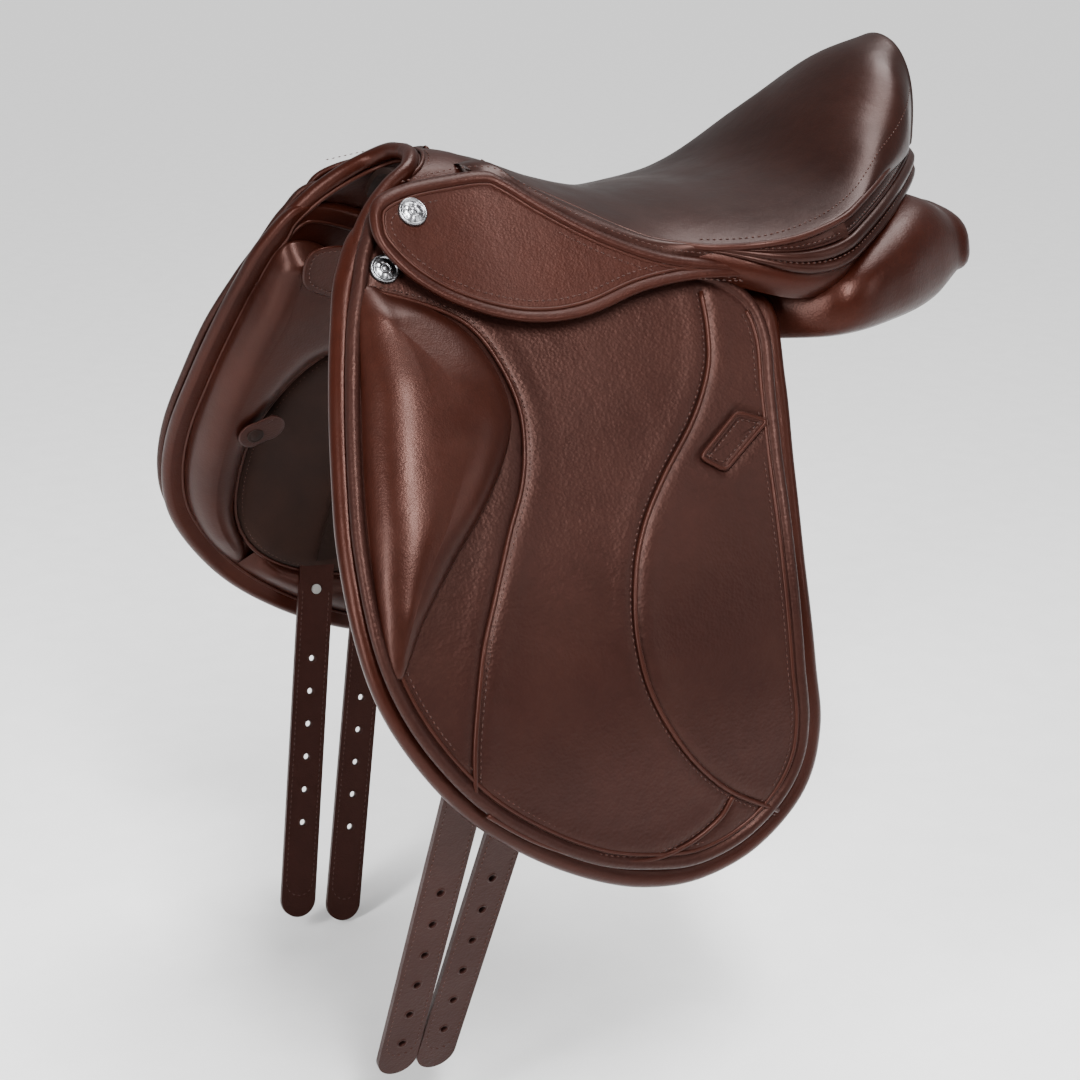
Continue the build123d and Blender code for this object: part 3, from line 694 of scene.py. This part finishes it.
def build_knee_block(label, side):
    """Padded knee block on the flap."""
    block = cushion(f"knee_block_pad_{label}", flat(BLOCK_EDGE, 150, closed=True),
                    flat(BLOCK_SPINE, 30), BLOCK_BASE, BLOCK_HEIGHT, BLOCK, side,
                    reach=34, rows=30, body=f"flap_{label}", slot="block_leather")
    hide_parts(f"knee_block_{label}")


def build_patch(label, side):
    """Small four-sided patch on the flap, with a bead round it."""
    body = f"flap_{label}"
    line = []
    for i, corner in enumerate(PATCH):
        corner, before, after = Vector(corner), Vector(PATCH[i - 1]), Vector(PATCH[(i + 1) % 4])
        back = (before - corner).normalized() * PATCH_CORNER
        ahead = (after - corner).normalized() * PATCH_CORNER
        line += [corner + back, corner + (back + ahead) * 0.27, corner + ahead]
    line = respace(looped(line), 110, closed=True)
    patch = leather_face(f"flap_patch_skin_{label}", line, PATCH_FACE, PATCH_BACK, 1.2, FLAP, side,
                         shells=10, body=body, slot="flap_leather")
    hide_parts(f"flap_patch_{label}")
    rolls(f"patch_bead_{label}", [(laid(line, PATCH_FACE - 0.3, side), 1.5, True)], PIPING,
          body=body, slot="piping_leather")
    thread = laid(looped(inset(line, PATCH_THREAD_INSET)), PATCH_FACE + 0.1, side)
    stitches(f"patch_thread_{label}", [(thread, OUT[side])], body=body)


STUD_PROFILE = [(9.6, -1.0), (9.7, 1.2), (9.4, 2.4), (8.8, 2.9), (8.1, 2.7), (7.7, 2.0), (7.3, 1.7),
                (6.9, 1.9), (5.6, 2.5), (4.0, 2.9), (3.2, 2.9), (2.9, 2.5), (2.4, 2.5), (2.0, 3.1),
                (1.0, 3.3), (0.01, 3.35)]
STUD_SIDES = 48
STUD_TILT = radians(34)
FLAP_STUD, SKIRT_STUD = (-254, 66), (-230, 99)


def stud_ripple(radius, angle):
    """Fluting of the stud's domed ring."""
    return 0.14 * cos(8 * angle) if 3.5 < radius < 7.1 else 0


def build_stud(kind, label, side, place, layer, body):
    """Round metal stud: a collar, a sunk ring and a domed centre with a raised hub."""
    axis = Vector((cos(STUD_TILT) * side, 0, sin(STUD_TILT))).normalized()
    across = Vector((0, 1, 0))
    verts = turned(STUD_PROFILE, flank(*place, layer, side), axis, across,
                   axis.cross(across).normalized(), STUD_SIDES, stud_ripple)
    faces = grid_faces(len(STUD_PROFILE), STUD_SIDES, wrap=True)
    faces.append(tuple(range(STUD_SIDES)))
    stud = make(f"{kind}_head_{label}", verts, faces, CHROME, body=body, slot="stud_metal")
    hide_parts(f"{kind}_{label}")


# ---------------------------------------------------------------- skirt
SKIRT_FACE = {"left": 26, "right": 24.2}
SKIRT_GAUGE = 4
SKIRT_SETBACK = {"left": 0, "right": 14}
SKIRT_THREAD_END_Y = 30


def build_skirt(label, side):
    """Skirt leather: a top strip that rides on the root and a lobe, cut apart along the fold."""
    face = SKIRT_FACE[label]
    setback = SKIRT_SETBACK[label]
    points = [(y + setback * min(max((-200 - y) / 50, 0), 1), z) for y, z in SKIRT_EDGE]
    outline = flat(points, 300, closed=True)
    edge = inset(outline, 8.0)
    low_thread = [p for p in opened(inset(outline, 13), lambda p: p.y < 112 - 0.30 * (p.x + 232))
                  if p.x < SKIRT_THREAD_END_Y]
    threads = (low_thread, beside(flat(SKIRT_TOP_SEAM, 100), 5))
    spine = flat(SKIRT_SPINE, 40)
    fold, up = fold_line(side)
    for part, node in (("top", f"skirt_top_{label}"), ("lobe", f"skirt_{label}")):
        skin = leather_face(f"skirt_{part}_skin_{label}", outline, face, face - SKIRT_GAUGE, 3.6,
                            SKIRT, side, spine=spine, shells=16, body=None)
        bead = rolls(f"skirt_{part}_bead_{label}", [(laid(edge, face - 0.4, side), 1.2, True)],
                     PIPING, body=None)
        thread = stitches(f"skirt_{part}_thread_{label}",
                          [(laid(line, face + 0.2, side), OUT[side]) for line in threads], body=None)
        for piece, name in ((skin, "skirt_leather"), (bead, "piping_leather"), (thread, "thread")):
            divide(piece, fold * MM, up, part == "top")
            if part == "top":
                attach(piece, "root")
            else:
                put_on(label, piece, node)
        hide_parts(node)


# ---------------------------------------------------------------- sweat flap and its inner side
SWEAT_FACE, SWEAT_BACK = 7, -5
SWEAT_SEAM_INSET = 15
INNER_LAYER = -4.5
ROLL_HEIGHT = [(-228, 12), (-190, 21), (-100, 27), (0, 28), (40, 22), (62, 9)]
BAND_ROWS = 10
BAND_TOP_Z, BAND_FRONT_Y = -180, -262
BAND_LIFT, BAND_DROP, BAND_TAPER = 11, 10, 8
LINING_LAYER, LINING_RISE = -12, 7
POCKET_FACE, POCKET_BACK = -30, -33.5
TAB_PLACE = (-270, -92)
TAB_FACE, TAB_BACK = -33, -36
RIVET_PROFILE = [(6.4, -0.5), (6.4, 0.8), (5.6, 1.5), (4.4, 1.2), (3.9, 1.5), (2.4, 2.4), (0.01, 2.7)]
RIVET_SIDES = 32


def build_sweat_flap(label, side):
    """Padded under-flap with its rolled edge, and everything sewn to its inner side."""
    outline = inset(flat(hang(SWEAT, side), 300, closed=True), -3.4)
    outline = [p - Vector((2.5, 0)) for p in outline]
    skin = leather_face(f"sweat_flap_skin_{label}", outline, SWEAT_FACE, SWEAT_BACK, 7.0, PANEL, side,
                        shells=14, slot="panel_leather")
    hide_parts(f"sweat_flap_{label}")
    rolls(f"sweat_bead_{label}",
          [(laid(inset(outline, SWEAT_SEAM_INSET), SWEAT_BACK + 0.4, side), 1.5, True)], PIPING,
          slot="piping_leather")
    lining_edge = flat(hang(LINING_EDGE, side), 220, closed=True)
    build_knee_roll(label, side)
    build_lower_band(label, side, outline, lining_edge)
    build_lining(label, side, lining_edge)
    build_pocket(label, side)
    build_tab(label, side)


def build_knee_roll(label, side):
    """Knee roll on the inner side."""
    roll = cushion(f"knee_roll_pad_{label}", flat(hang(KNEE_ROLL, side), 200, closed=True),
                   flat(ROLL_SPINE, 30), INNER_LAYER, ROLL_HEIGHT, BLOCK, side,
                   sign=-1, reach=22, slot="block_leather")
    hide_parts(f"knee_roll_{label}")


def build_lower_band(label, side, outline, lining_edge):
    """Padded band between the sweat flap's rolled edge and the lining."""
    rim = [p for p in inset(outline, SWEAT_SEAM_INSET + 1) if p.y < BAND_TOP_Z and p.x > BAND_FRONT_Y]
    rim.sort(key=lambda p: p.x)
    targets = [min(lining_edge, key=lambda q: (q - p).length) for p in rim]
    verts = []
    for r in range(BAND_ROWS + 1):
        share = r / BAND_ROWS
        for i, (p, target) in enumerate(zip(rim, targets)):
            end = min(i, len(rim) - 1 - i) / BAND_TAPER
            lift = BAND_LIFT * sin(pi * share) ** 0.7 * min(1, end) if 0 < share < 1 else 0
            spot = p.lerp(target, share)
            verts.append(flank(spot.x, spot.y, INNER_LAYER - lift - BAND_DROP * share, side))
    band = make(f"lower_band_{label}", verts, grid_faces(BAND_ROWS + 1, len(rim)), BLOCK,
                slot="block_leather")


def build_lining(label, side, edge):
    """Suede field of the panel's inner side, with its bead and thread."""
    lining = cushion(f"lining_skin_{label}", edge, flat(LINING_SPINE, 20), LINING_LAYER,
                     [(0, LINING_RISE)], LINING, side, sign=-1, rows=12, reach=12,
                     slot="lining_leather")
    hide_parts(f"panel_lining_{label}")
    stitches(f"lining_thread_{label}", [(laid(looped(inset(edge, 5)), -17.5, side), -OUT[side])])
    rolls(f"lining_bead_{label}", [(laid(edge, -14.5, side), 1.6, True)], PIPING,
          slot="piping_leather")


def build_pocket(label, side):
    """Stitched pocket for the tree's point."""
    edge = flat(POCKET_EDGE, 120, closed=True)
    pocket = leather_face(f"point_pocket_skin_{label}", edge, POCKET_FACE, POCKET_BACK, 1.6, PANEL,
                          side, shells=8, slot="panel_leather")
    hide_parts(f"point_pocket_{label}")
    stitches(f"pocket_thread_{label}",
             [(laid(looped(inset(edge, 4)), POCKET_BACK - 0.4, side), -OUT[side])])


def build_tab(label, side):
    """Small riveted tab on the knee roll."""
    edge = []
    for k in range(72):
        turn = 2 * pi * k / 72
        rearward = cos(turn) > 0
        edge.append(Vector((TAB_PLACE[0] + 12.5 * cos(turn) + 10 * rearward,
                            TAB_PLACE[1] + 11.5 * sin(turn) + 5 * rearward)))
    tab = leather_face(f"roll_tab_skin_{label}", edge, TAB_FACE, TAB_BACK, 1.4, STRAP, side, shells=6,
                       slot="strap_leather")
    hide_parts(f"roll_tab_{label}")


def build_rivets():
    """Domed rivets of the two roll tabs."""
    verts, faces = [], []
    across = Vector((0, 1, 0))
    for _, side in SIDES:
        axis = -OUT[side]
        faces += grid_faces(len(RIVET_PROFILE), RIVET_SIDES, wrap=True, start=len(verts))
        verts += turned(RIVET_PROFILE, flank(*TAB_PLACE, TAB_BACK, side), axis, across,
                        axis.cross(across), RIVET_SIDES)
    rivets = make("tab_rivet_domes", verts, faces, DARK_STEEL, slot="stud_metal")
    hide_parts("tab_rivets")


# ---------------------------------------------------------------- seat, pommel, cantle
# y, half width, edge height, crown height
SEAT_ROWS = [(-178, 34, 120, 127), (-150, 56, 113, 121), (-110, 78, 94, 107), (-60, 112, 73, 96),
             (-10, 142, 71, 96), (30, 150, 80, 99), (70, 140, 94, 114), (110, 116, 110, 151),
             (150, 88, 121, 183), (182, 50, 124, 196)]
# x, y, z along the left half of the seat's piping, and along the skirt's top seam
SEAT_RIM = [(45, -166, 125), (55, -152, 115), (75, -114, 96), (100, -75, 77), (120, -48, 72),
            (130, -31, 71), (143, -9, 73), (150, 18, 77), (148, 51, 86), (138, 74, 95),
            (112, 113, 110), (70, 160, 125), (38, 184, 130), (0, 193, 132)]
SKIRT_SEAM = [(64, -178, 118), (66, -172, 119), (71, -164, 116), (86, -139, 99), (104, -107, 80),
              (118, -70, 66), (128, -30, 59), (138, 20, 55), (146, 40, 56), (150, 60, 60)]


SEAT_STATIONS = 73
SEAT_END_STEPS, SEAT_END_BULGE, SEAT_END_Z = 8, 7, 118
FOAM_DEPTH, FOAM_END_GAP = 7, 4
RIM_THREAD_Y, RIM_THREAD_LENGTH, RIM_THREAD_SHARE = -40, 222, 0.93
DROOP = [(0, 0), (55, 9), (115, 9), (165, 0)]
SEAT_ROUND = [(-60, 1.0), (50, 0.9), (120, 0.6), (184, 0.36)]


def droop(y):
    """The far side of the seat sits a little lower behind the waist, in millimetres."""
    return curve_at(DROOP, y)


def both_sides(points):
    """Path from its left half, given from front to the middle, mirrored to the right side."""
    return list(points) + [(-x, y, z - droop(y)) for x, y, z in reversed(points[:-1])]


def seat_round(y):
    """How square the seat is across: rounder towards the cantle."""
    return curve_at(SEAT_ROUND, y)


def seat_station(y):
    """Half width, edge height and crown height of the seat at one place."""
    return [catmull([(row[0], row[k]) for row in SEAT_ROWS], y) for k in (1, 2, 3)]


def seat_height(y, across, edge, crown):
    """Height of the seat at a share of its half width."""
    return edge + (crown - edge) * (1 - across ** 2) ** seat_round(y)


def seat_section(y, half, edge, crown, columns=41):
    """Points across the seat at one station, with the hem turned down."""
    low = edge - droop(y)
    row = [Vector((-half + 5, y, low - 9)), Vector((-half + 0.5, y, low - 5))]
    for c in range(columns):
        across = sin(pi / 2 * (2 * c / (columns - 1) - 1))
        rim = edge - droop(y) * max(0, -across) ** 1.5
        row.append(Vector((half * across, y, seat_height(y, across, rim, crown))))
    return row + [Vector((half - 0.5, y, edge - 5)), Vector((half - 5, y, edge - 9))]


def seat_rows(inward=0):
    """Rows of points across the seat, from pommel to cantle, with the rounded end over the cantle."""
    rows = []
    first, last = SEAT_ROWS[0][0], SEAT_ROWS[-1][0]
    for i in range(SEAT_STATIONS):
        y = first + (last - first) * i / (SEAT_STATIONS - 1)
        half, edge, crown = seat_station(y)
        rows.append(seat_section(y, half - inward, edge, crown - inward))
    final = rows[-1]
    for k in range(1, SEAT_END_STEPS + 1):
        turn = pi / 2 * k / SEAT_END_STEPS
        rows.append([Vector((p.x * (0.66 + 0.34 * cos(turn)), p.y + SEAT_END_BULGE * sin(turn),
                             SEAT_END_Z + (p.z - SEAT_END_Z) * (0.6 + 0.4 * cos(turn))))
                     for p in final])
    return rows


def seat_mesh(name, rows, material, **options):
    """Closed piece through rows of points across the seat."""
    verts = [p for row in rows for p in row]
    columns = len(rows[0])
    faces = grid_faces(len(rows), columns)
    faces += [(row * columns, (row + 1) * columns, (row + 2) * columns - 1, (row + 1) * columns - 1)
              for row in range(len(rows) - 1)]
    faces.append(tuple(range(columns)))
    faces.append(tuple(len(verts) - columns + k for k in range(columns)))
    return make(name, verts, faces, material, **options)


def build_seat():
    """Seat leather, the foam under it and the thread along its rim."""
    cover = seat_mesh("seat_skin", seat_rows(), SEAT, slot="seat_leather")
    foam_rows = seat_rows(FOAM_DEPTH)[:-SEAT_END_STEPS // 2]
    for row in foam_rows[SEAT_STATIONS:]:
        for p in row:
            p.y -= FOAM_END_GAP
    filling = seat_mesh("seat_filling", foam_rows, FOAM, slot="foam")
    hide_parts("seat_foam")
    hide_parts("seat_cover")

    runs = []
    for side in (1, -1):
        run = []
        for i in range(40):
            y = RIM_THREAD_Y + RIM_THREAD_LENGTH * i / 39
            half, edge, crown = seat_station(y)
            edge -= droop(y) * max(0, -side)
            run.append(Vector((side * half * RIM_THREAD_SHARE, y,
                               seat_height(y, RIM_THREAD_SHARE, edge, crown) + 0.3)))
        runs.append((run, Vector((side * 0.8, 0, 0.6))))
    stitches("seat_rim_thread", runs)


CANTLE_FRONT_Y = -45
CANTLE_PROFILE = [(-7, 0), (-1, -2), (1.5, -6), (2.2, -11), (1.5, -16), (-1, -20), (-8, -22)]
GUSSET_PROFILE = [(0, 0), (3, -6), (2, -14), (-6, -22)]
# Rolls round the cantle: distance below the rim, distance out, radius.
CANTLE_ROLLS = ((19, 3.0, 4.8), (28, 4.5, 4.2), (12.5, 2.4, 1.1))
CANTLE_THREADS = ((23.6, 7.2), (9, 2.6))


def build_cantle():
    """Piping round the seat, and behind it the cantle's facing, rolls, thread and gusset."""
    rim = smooth(both_sides(SEAT_RIM), 240)
    welt = rolls("seat_piping", [([p + Vector((0, 0, -1.5)) for p in rim], 2.6, False)], PIPING,
                 slot="piping_leather")
    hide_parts("seat_welt")
    back = [p for p in rim if p.y > CANTLE_FRONT_Y]
    n = len(back)
    ease = [curve_at([(0, 0.12), (0.16, 1)], min(i, n - 1 - i) / n) for i in range(n)]
    band = swept("cantle_facing", back, CANTLE_PROFILE, SEAT, ease=ease, slot="seat_leather")
    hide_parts("cantle_band")

    def below(drop, out):
        return [p + (outward(back, i) * out - Vector((0, 0, drop))) * ease[i]
                for i, p in enumerate(back)]

    def tapered(size):
        return lambda t: size * curve_at([(0, 0.2), (0.14, 1)], min(t, 1 - t))

    double = rolls("cantle_rolls",
                   [(below(drop, out), tapered(size), False) for drop, out, size in CANTLE_ROLLS],
                   SEAT, slot="seat_leather")
    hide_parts("cantle_welt")
    stitches("cantle_thread", [(below(*place), Vector((0.6, 0.6, 0))) for place in CANTLE_THREADS])
    swept("cantle_gusset", below(CANTLE_ROLLS[1][0], 0), GUSSET_PROFILE, PANEL, slot="panel_leather")


FRONT_ROLL = [(0, -201, 128), (18, -204, 126.5), (33, -213, 120), (41, -230, 110), (52, -248, 95),
              (65, -262, 77)]
FRONT_ROLL_FEET = ((-266, 64), (-279, 33))
ARCH_CENTRE_Z = 69
ARCH_COLUMNS = 15
POMMEL_BACK_Y = -150
POMMEL_BACK_RADIUS, POMMEL_BACK_SPREAD, POMMEL_BACK_DROP = 62, 14, 12


def build_pommel():
    """Leather over the pommel's arch, with the roll along its front edge."""
    front = smooth(FRONT_ROLL + [flank(*foot, 1) for foot in FRONT_ROLL_FEET], 46)
    arch = [Vector((-p.x, p.y, p.z)) for p in reversed(front[1:])] + front
    rows = []
    for p in arch:
        angle = atan2(p.x, p.z - ARCH_CENTRE_Z)
        front_radius = Vector((p.x, 0, p.z - ARCH_CENTRE_Z)).length - 1
        back_radius = POMMEL_BACK_RADIUS + POMMEL_BACK_SPREAD * abs(sin(angle)) ** 1.5
        row = []
        for k in range(ARCH_COLUMNS):
            share = k / (ARCH_COLUMNS - 1)
            y = p.y + (POMMEL_BACK_Y - p.y) * share
            radius = front_radius * (1 - share) + back_radius * share + 1.5 * sin(pi * share)
            row.append(Vector((radius * sin(angle), y,
                               ARCH_CENTRE_Z + radius * cos(angle) - POMMEL_BACK_DROP * share ** 2)))
        rows.append(row)
    inner = [[Vector((p.x * 0.93, p.y, ARCH_CENTRE_Z + (p.z - ARCH_CENTRE_Z) * 0.93)) for p in row]
             for row in rows]
    verts = [p for row in rows + inner for p in row]
    faces = (grid_faces(len(rows), ARCH_COLUMNS)
             + grid_faces(len(rows), ARCH_COLUMNS, start=len(rows) * ARCH_COLUMNS))
    facing = make("pommel_skin", verts, faces, SKIRT, slot="skirt_leather")
    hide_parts("pommel_facing")
    rolls("pommel_roll", [(arch, lambda t: 5.6 + 1.0 * min(1, abs(t - 0.5) * 2), False)], PANEL,
          slot="panel_leather")
    seam = [p + Vector((0, 9, 1)) for p in arch]
    inside = [Vector((p.x * 0.9, p.y + 4, ARCH_CENTRE_Z + (p.z - ARCH_CENTRE_Z) * 0.88)) for p in arch]
    rolls("pommel_bead", [(seam, 1.5, False), (inside, 1.5, False)], PIPING, slot="piping_leather")
    thread = [Vector((p.x * 1.012, p.y + 13, ARCH_CENTRE_Z + 0.2 + (p.z - ARCH_CENTRE_Z) * 1.012))
              for p in arch if p.z > 100]
    stitches("pommel_thread", [(thread, Vector((0, 0, 1)))])


SIDE_FRONT = (24, -180, 120)
SIDE_ROWS, SIDE_COLUMNS, SIDE_BULGE = 9, 90, 4.5


def build_seat_side(label, side):
    """Leather between the seat's piping and the skirt."""
    rim = [SIDE_FRONT] + SEAT_RIM[:9]
    upper = smooth([(x * side, y, z - (droop(y) if side < 0 else 0)) for x, y, z in rim], SIDE_COLUMNS)
    lower = smooth([(x * side, y, z) for x, y, z in SKIRT_SEAM], SIDE_COLUMNS)
    away = Vector((side * 0.5, 0, 0.85))
    verts = []
    for r in range(SIDE_ROWS):
        share = r / (SIDE_ROWS - 1)
        verts += [p.lerp(q, share) + away * SIDE_BULGE * sin(pi * share) for p, q in zip(upper, lower)]
    make(f"seat_side_{label}", verts, grid_faces(SIDE_ROWS, SIDE_COLUMNS), SEAT, slot="seat_leather")
    thread = [q.lerp(p, 0.16) + Vector((side * 0.6, 0, 1.0)) for p, q in zip(upper, lower)][4:]
    stitches(f"seat_side_thread_{label}", [(thread, away)])


# ---------------------------------------------------------------- panels
# y, then four corners (x, z) of the section
PANEL_ROWS = [(-178, (34, 46), (64, -4), (70, 14), (50, 74)),
              (-100, (34, 36), (80, -20), (86, 6), (46, 66)),
              (-10, (34, 28), (96, -8), (96, 24), (44, 50)),
              (16, (34, 28), (120, -8), (116, 34), (44, 54)),
              (52, (34, 26), (158, -4), (160, 50), (42, 62)),
              (104, (34, 26), (154, 0), (152, 72), (42, 80)),
              (150, (34, 30), (138, 8), (128, 86), (42, 90)),
              (184, (42, 42), (120, 30), (110, 72), (46, 84))]


PANEL_STATIONS = 60
PANEL_LENGTH = 360
PANEL_FRONT_BULGE, PANEL_REAR_BULGE, PANEL_END_STEPS = 12, 22, 10


def panel_corner(y, k):
    """One corner of the panel's section at a place along it."""
    return Vector([catmull([(row[0], row[k][axis]) for row in PANEL_ROWS], y) for axis in (0, 1)])


def panel_end(ring, step, bulge):
    """Rings that close one end of a panel with a rounded bulge."""
    middle = sum(ring, Vector()) / len(ring)
    rings = []
    for k in range(1, PANEL_END_STEPS + 1):
        turn = pi / 2 * k / PANEL_END_STEPS
        rings.append([middle + (p - middle) * max(cos(turn), 0.02)
                      + Vector((0, step * bulge * sin(turn), 0)) for p in ring])
    return rings


def build_panel(label, side):
    """Flocked panel that lies along the horse's back."""
    rings = []
    for i in range(PANEL_STATIONS):
        y = PANEL_ROWS[0][0] + PANEL_LENGTH * i / (PANEL_STATIONS - 1)
        corners = rounded([panel_corner(y, k) for k in (1, 2, 3, 4)])
        rings.append([Vector((side * p.x, y, p.y)) for p in corners])
    rings = (panel_end(rings[0], -1, PANEL_FRONT_BULGE)[::-1] + rings
             + panel_end(rings[-1], 1, PANEL_REAR_BULGE))
    panel = loft(f"panel_skin_{label}", rings, PANEL, slot="panel_leather")
    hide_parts(f"panel_{label}")


# ---------------------------------------------------------------- straps, metal and hidden parts
# pivot, middle of the rounded tip, distance of the first hole below the pivot
STRAPS = {"front_left": ((210, -258, -240), (145, -282, -463), 84),
          "rear_left": ((210, -218, -240), (144, -253, -467), 82),
          "front_right": ((-210, -199, -240), (-139, -251, -489), 66),
          "rear_right": ((-210, -150, -240), (-139, -212, -502), 80)}
STRAP_WIDTH, STRAP_GAUGE = 29, 4
HOLE_COUNT, HOLE_PITCH, HOLE_SIDES = 6, 27, 24
HOLE_PROFILE = ((2.4, -1.2), (2.5, 0.1), (3.0, 0.45), (3.7, 0.25), (4.2, -0.2))
STRAP_THREAD_INSET, STRAP_TIP, STRAP_TIP_REACH = 3.2, 14, 11


def build_strap_trim(name, side):
    """Edge stitching and hole rims of one girth strap, on both faces."""
    top, tip, first = STRAPS[name]
    top, tip = Vector(top), Vector(tip)
    along = (tip - top).normalized()
    length = (tip - top).length
    face = Vector((-along.z, 0, along.x)).normalized()
    if face.x * side < 0:
        face = -face
    across = along.cross(face).normalized()
    row_side = STRAP_WIDTH / 2 - STRAP_THREAD_INSET
    lift = STRAP_GAUGE / 2 + 0.1
    runs = []
    for sign in (1, -1):
        for facing in (1, -1):
            line = [top + along * (length - STRAP_TIP - t) + across * sign * row_side
                    + face * facing * lift for t in range(0, int(length - 20), 5)]
            runs.append((line, face * facing))
    for facing in (1, -1):
        line = []
        for k in range(13):
            angle = pi * k / 12
            line.append(tip - along * STRAP_TIP + along * STRAP_TIP_REACH * sin(angle)
                        + across * cos(angle) * row_side + face * facing * lift)
        runs.append((line, face * facing))
    stitches(f"strap_thread_{name}", runs, body=f"girth_strap_{name}")
    verts, faces = [], []
    for k in range(HOLE_COUNT):
        for facing in (1, -1):
            middle = top + along * (first + HOLE_PITCH * k) + face * facing * (STRAP_GAUGE / 2)
            faces += grid_faces(len(HOLE_PROFILE), HOLE_SIDES, wrap=True, start=len(verts))
            verts += turned(HOLE_PROFILE, middle, face * facing, across, along, HOLE_SIDES)
    make(f"strap_holes_{name}", verts, faces, STRAP, body=f"girth_strap_{name}",
         slot="strap_leather")


def dress(node, material, bevel):
    """Finish of a CAD part, with its sharp edges eased."""
    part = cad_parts[node]
    part.data.materials.clear()
    part.data.materials.append(material)
    if bevel:
        modifier = part.modifiers.new("Eased edges", "BEVEL")
        modifier.width = bevel * MM
        modifier.segments = 3
        modifier.limit_method = "ANGLE"
        modifier.angle_limit = radians(35)


def build_straps():
    """Finish, stitching and hole rims of the four girth straps."""
    for label, side in SIDES:
        for place in ("front", "rear"):
            dress(f"girth_strap_{place}_{label}", STRAP, 0.9)
            build_strap_trim(f"{place}_{label}", side)


def dress_hidden():
    """Finishes of the tree, the bars and the other CAD parts that are shown as they are."""
    dress("tree", BOARD, 1.0)
    dress("head_plate", DARK_STEEL, 0.8)
    dress("channel_lining", LINING, 0)
    dress("seat_webbing", WEB, 0.4)
    dress("catch_pins", STEEL, 0.3)
    for label, _ in SIDES:
        dress(f"stirrup_bar_{label}", STEEL, 0.5)
        dress(f"stirrup_catch_{label}", STEEL, 0.5)
        dress(f"girth_web_{label}", WEB, 0.4)
        for place in ("front", "rear"):
            dress(f"strap_nail_{place}_{label}", STEEL, 0.6)


# ---------------------------------------------------------------- studio
FLOOR_GAP = 0.002
LIT_POINT = (0, -0.08, -0.05)
# name, place, (width, height), watts
SOFTBOXES = (("softbox over", (1.25, -0.35, 1.3), (0.3, 1.2), 75),
             ("softbox rear", (1.6, 1.2, 0.7), (0.4, 1.3), 12),
             ("softbox front", (0.75, -1.9, 0.5), (0.35, 1.5), 60))
SILK_DIRECTION = (0.25, -0.35, -1)
SILK_POWER, SILK_ANGLE = 3.2, radians(30)
WORLD_STRENGTH = 0.38
CAMERA_PLACE = (1.1864, -0.7030, 0.2715)
CAMERA_AIM = (0, -0.0985, -0.1611)
LENS, SENSOR = 63, 36


def placed(name, data):
    """New object in the scene."""
    thing = bpy.data.objects.new(name, data)
    bpy.context.collection.objects.link(thing)
    return thing


def turn_to(thing, direction):
    """Turn a light or the camera to look along a direction."""
    thing.rotation_euler = direction.to_track_quat("-Z", "Y").to_euler()


def softbox(name, place, size, power):
    """Rectangular light that faces the saddle."""
    light = bpy.data.lights.new(name, "AREA")
    light.shape, light.size, light.size_y = "RECTANGLE", *size
    light.energy = power
    lamp = placed(name, light)
    lamp.location = place
    turn_to(lamp, Vector(LIT_POINT) - Vector(place))
    return lamp


def overhead_silk():
    """Broad soft light from above."""
    sun = bpy.data.lights.new("overhead silk", "SUN")
    sun.energy, sun.angle = SILK_POWER, SILK_ANGLE
    silk = placed("overhead silk", sun)
    turn_to(silk, Vector(SILK_DIRECTION))
    return silk


def build_studio(floor_height):
    """Pale floor, white surroundings, lights and the camera."""
    bpy.ops.mesh.primitive_plane_add(size=400, location=(0, 0, floor_height))
    floor = bpy.context.object
    floor.name = "floor"
    floor.data.materials.append(fabric("pale floor", (0.92, 0.92, 0.92), 0.9, 60, 0.02, 0.0,
                                       contrast=0.02))
    world = bpy.context.scene.world or bpy.data.worlds.new("studio")
    bpy.context.scene.world = world
    world.use_nodes = True
    back = world.node_tree.nodes["Background"]
    back.inputs["Color"].default_value = (1, 1, 1, 1)
    back.inputs["Strength"].default_value = WORLD_STRENGTH
    lamps = [softbox(*box) for box in SOFTBOXES] + [overhead_silk()]
    camera = placed("camera", bpy.data.cameras.new("camera"))
    camera.data.lens, camera.data.sensor_width = LENS, SENSOR
    camera.location = CAMERA_PLACE
    turn_to(camera, Vector(CAMERA_AIM) - camera.location)
    bpy.context.scene.camera = camera


for label, side in SIDES:
    build_flap(label, side)
    build_knee_block(label, side)
    build_patch(label, side)
    build_stud("flap_stud", label, side, FLAP_STUD, FLAP_FACE + 0.4, f"flap_{label}")
    build_stud("skirt_stud", label, side, SKIRT_STUD, SKIRT_FACE[label], "root")
    build_skirt(label, side)
    build_sweat_flap(label, side)
    build_panel(label, side)
build_rivets()
build_seat()
build_cantle()
build_pommel()
for label, side in SIDES:
    build_seat_side(label, side)
build_straps()
dress_hidden()
build_studio(CAD_BOX[0][2] - FLOOR_GAP)
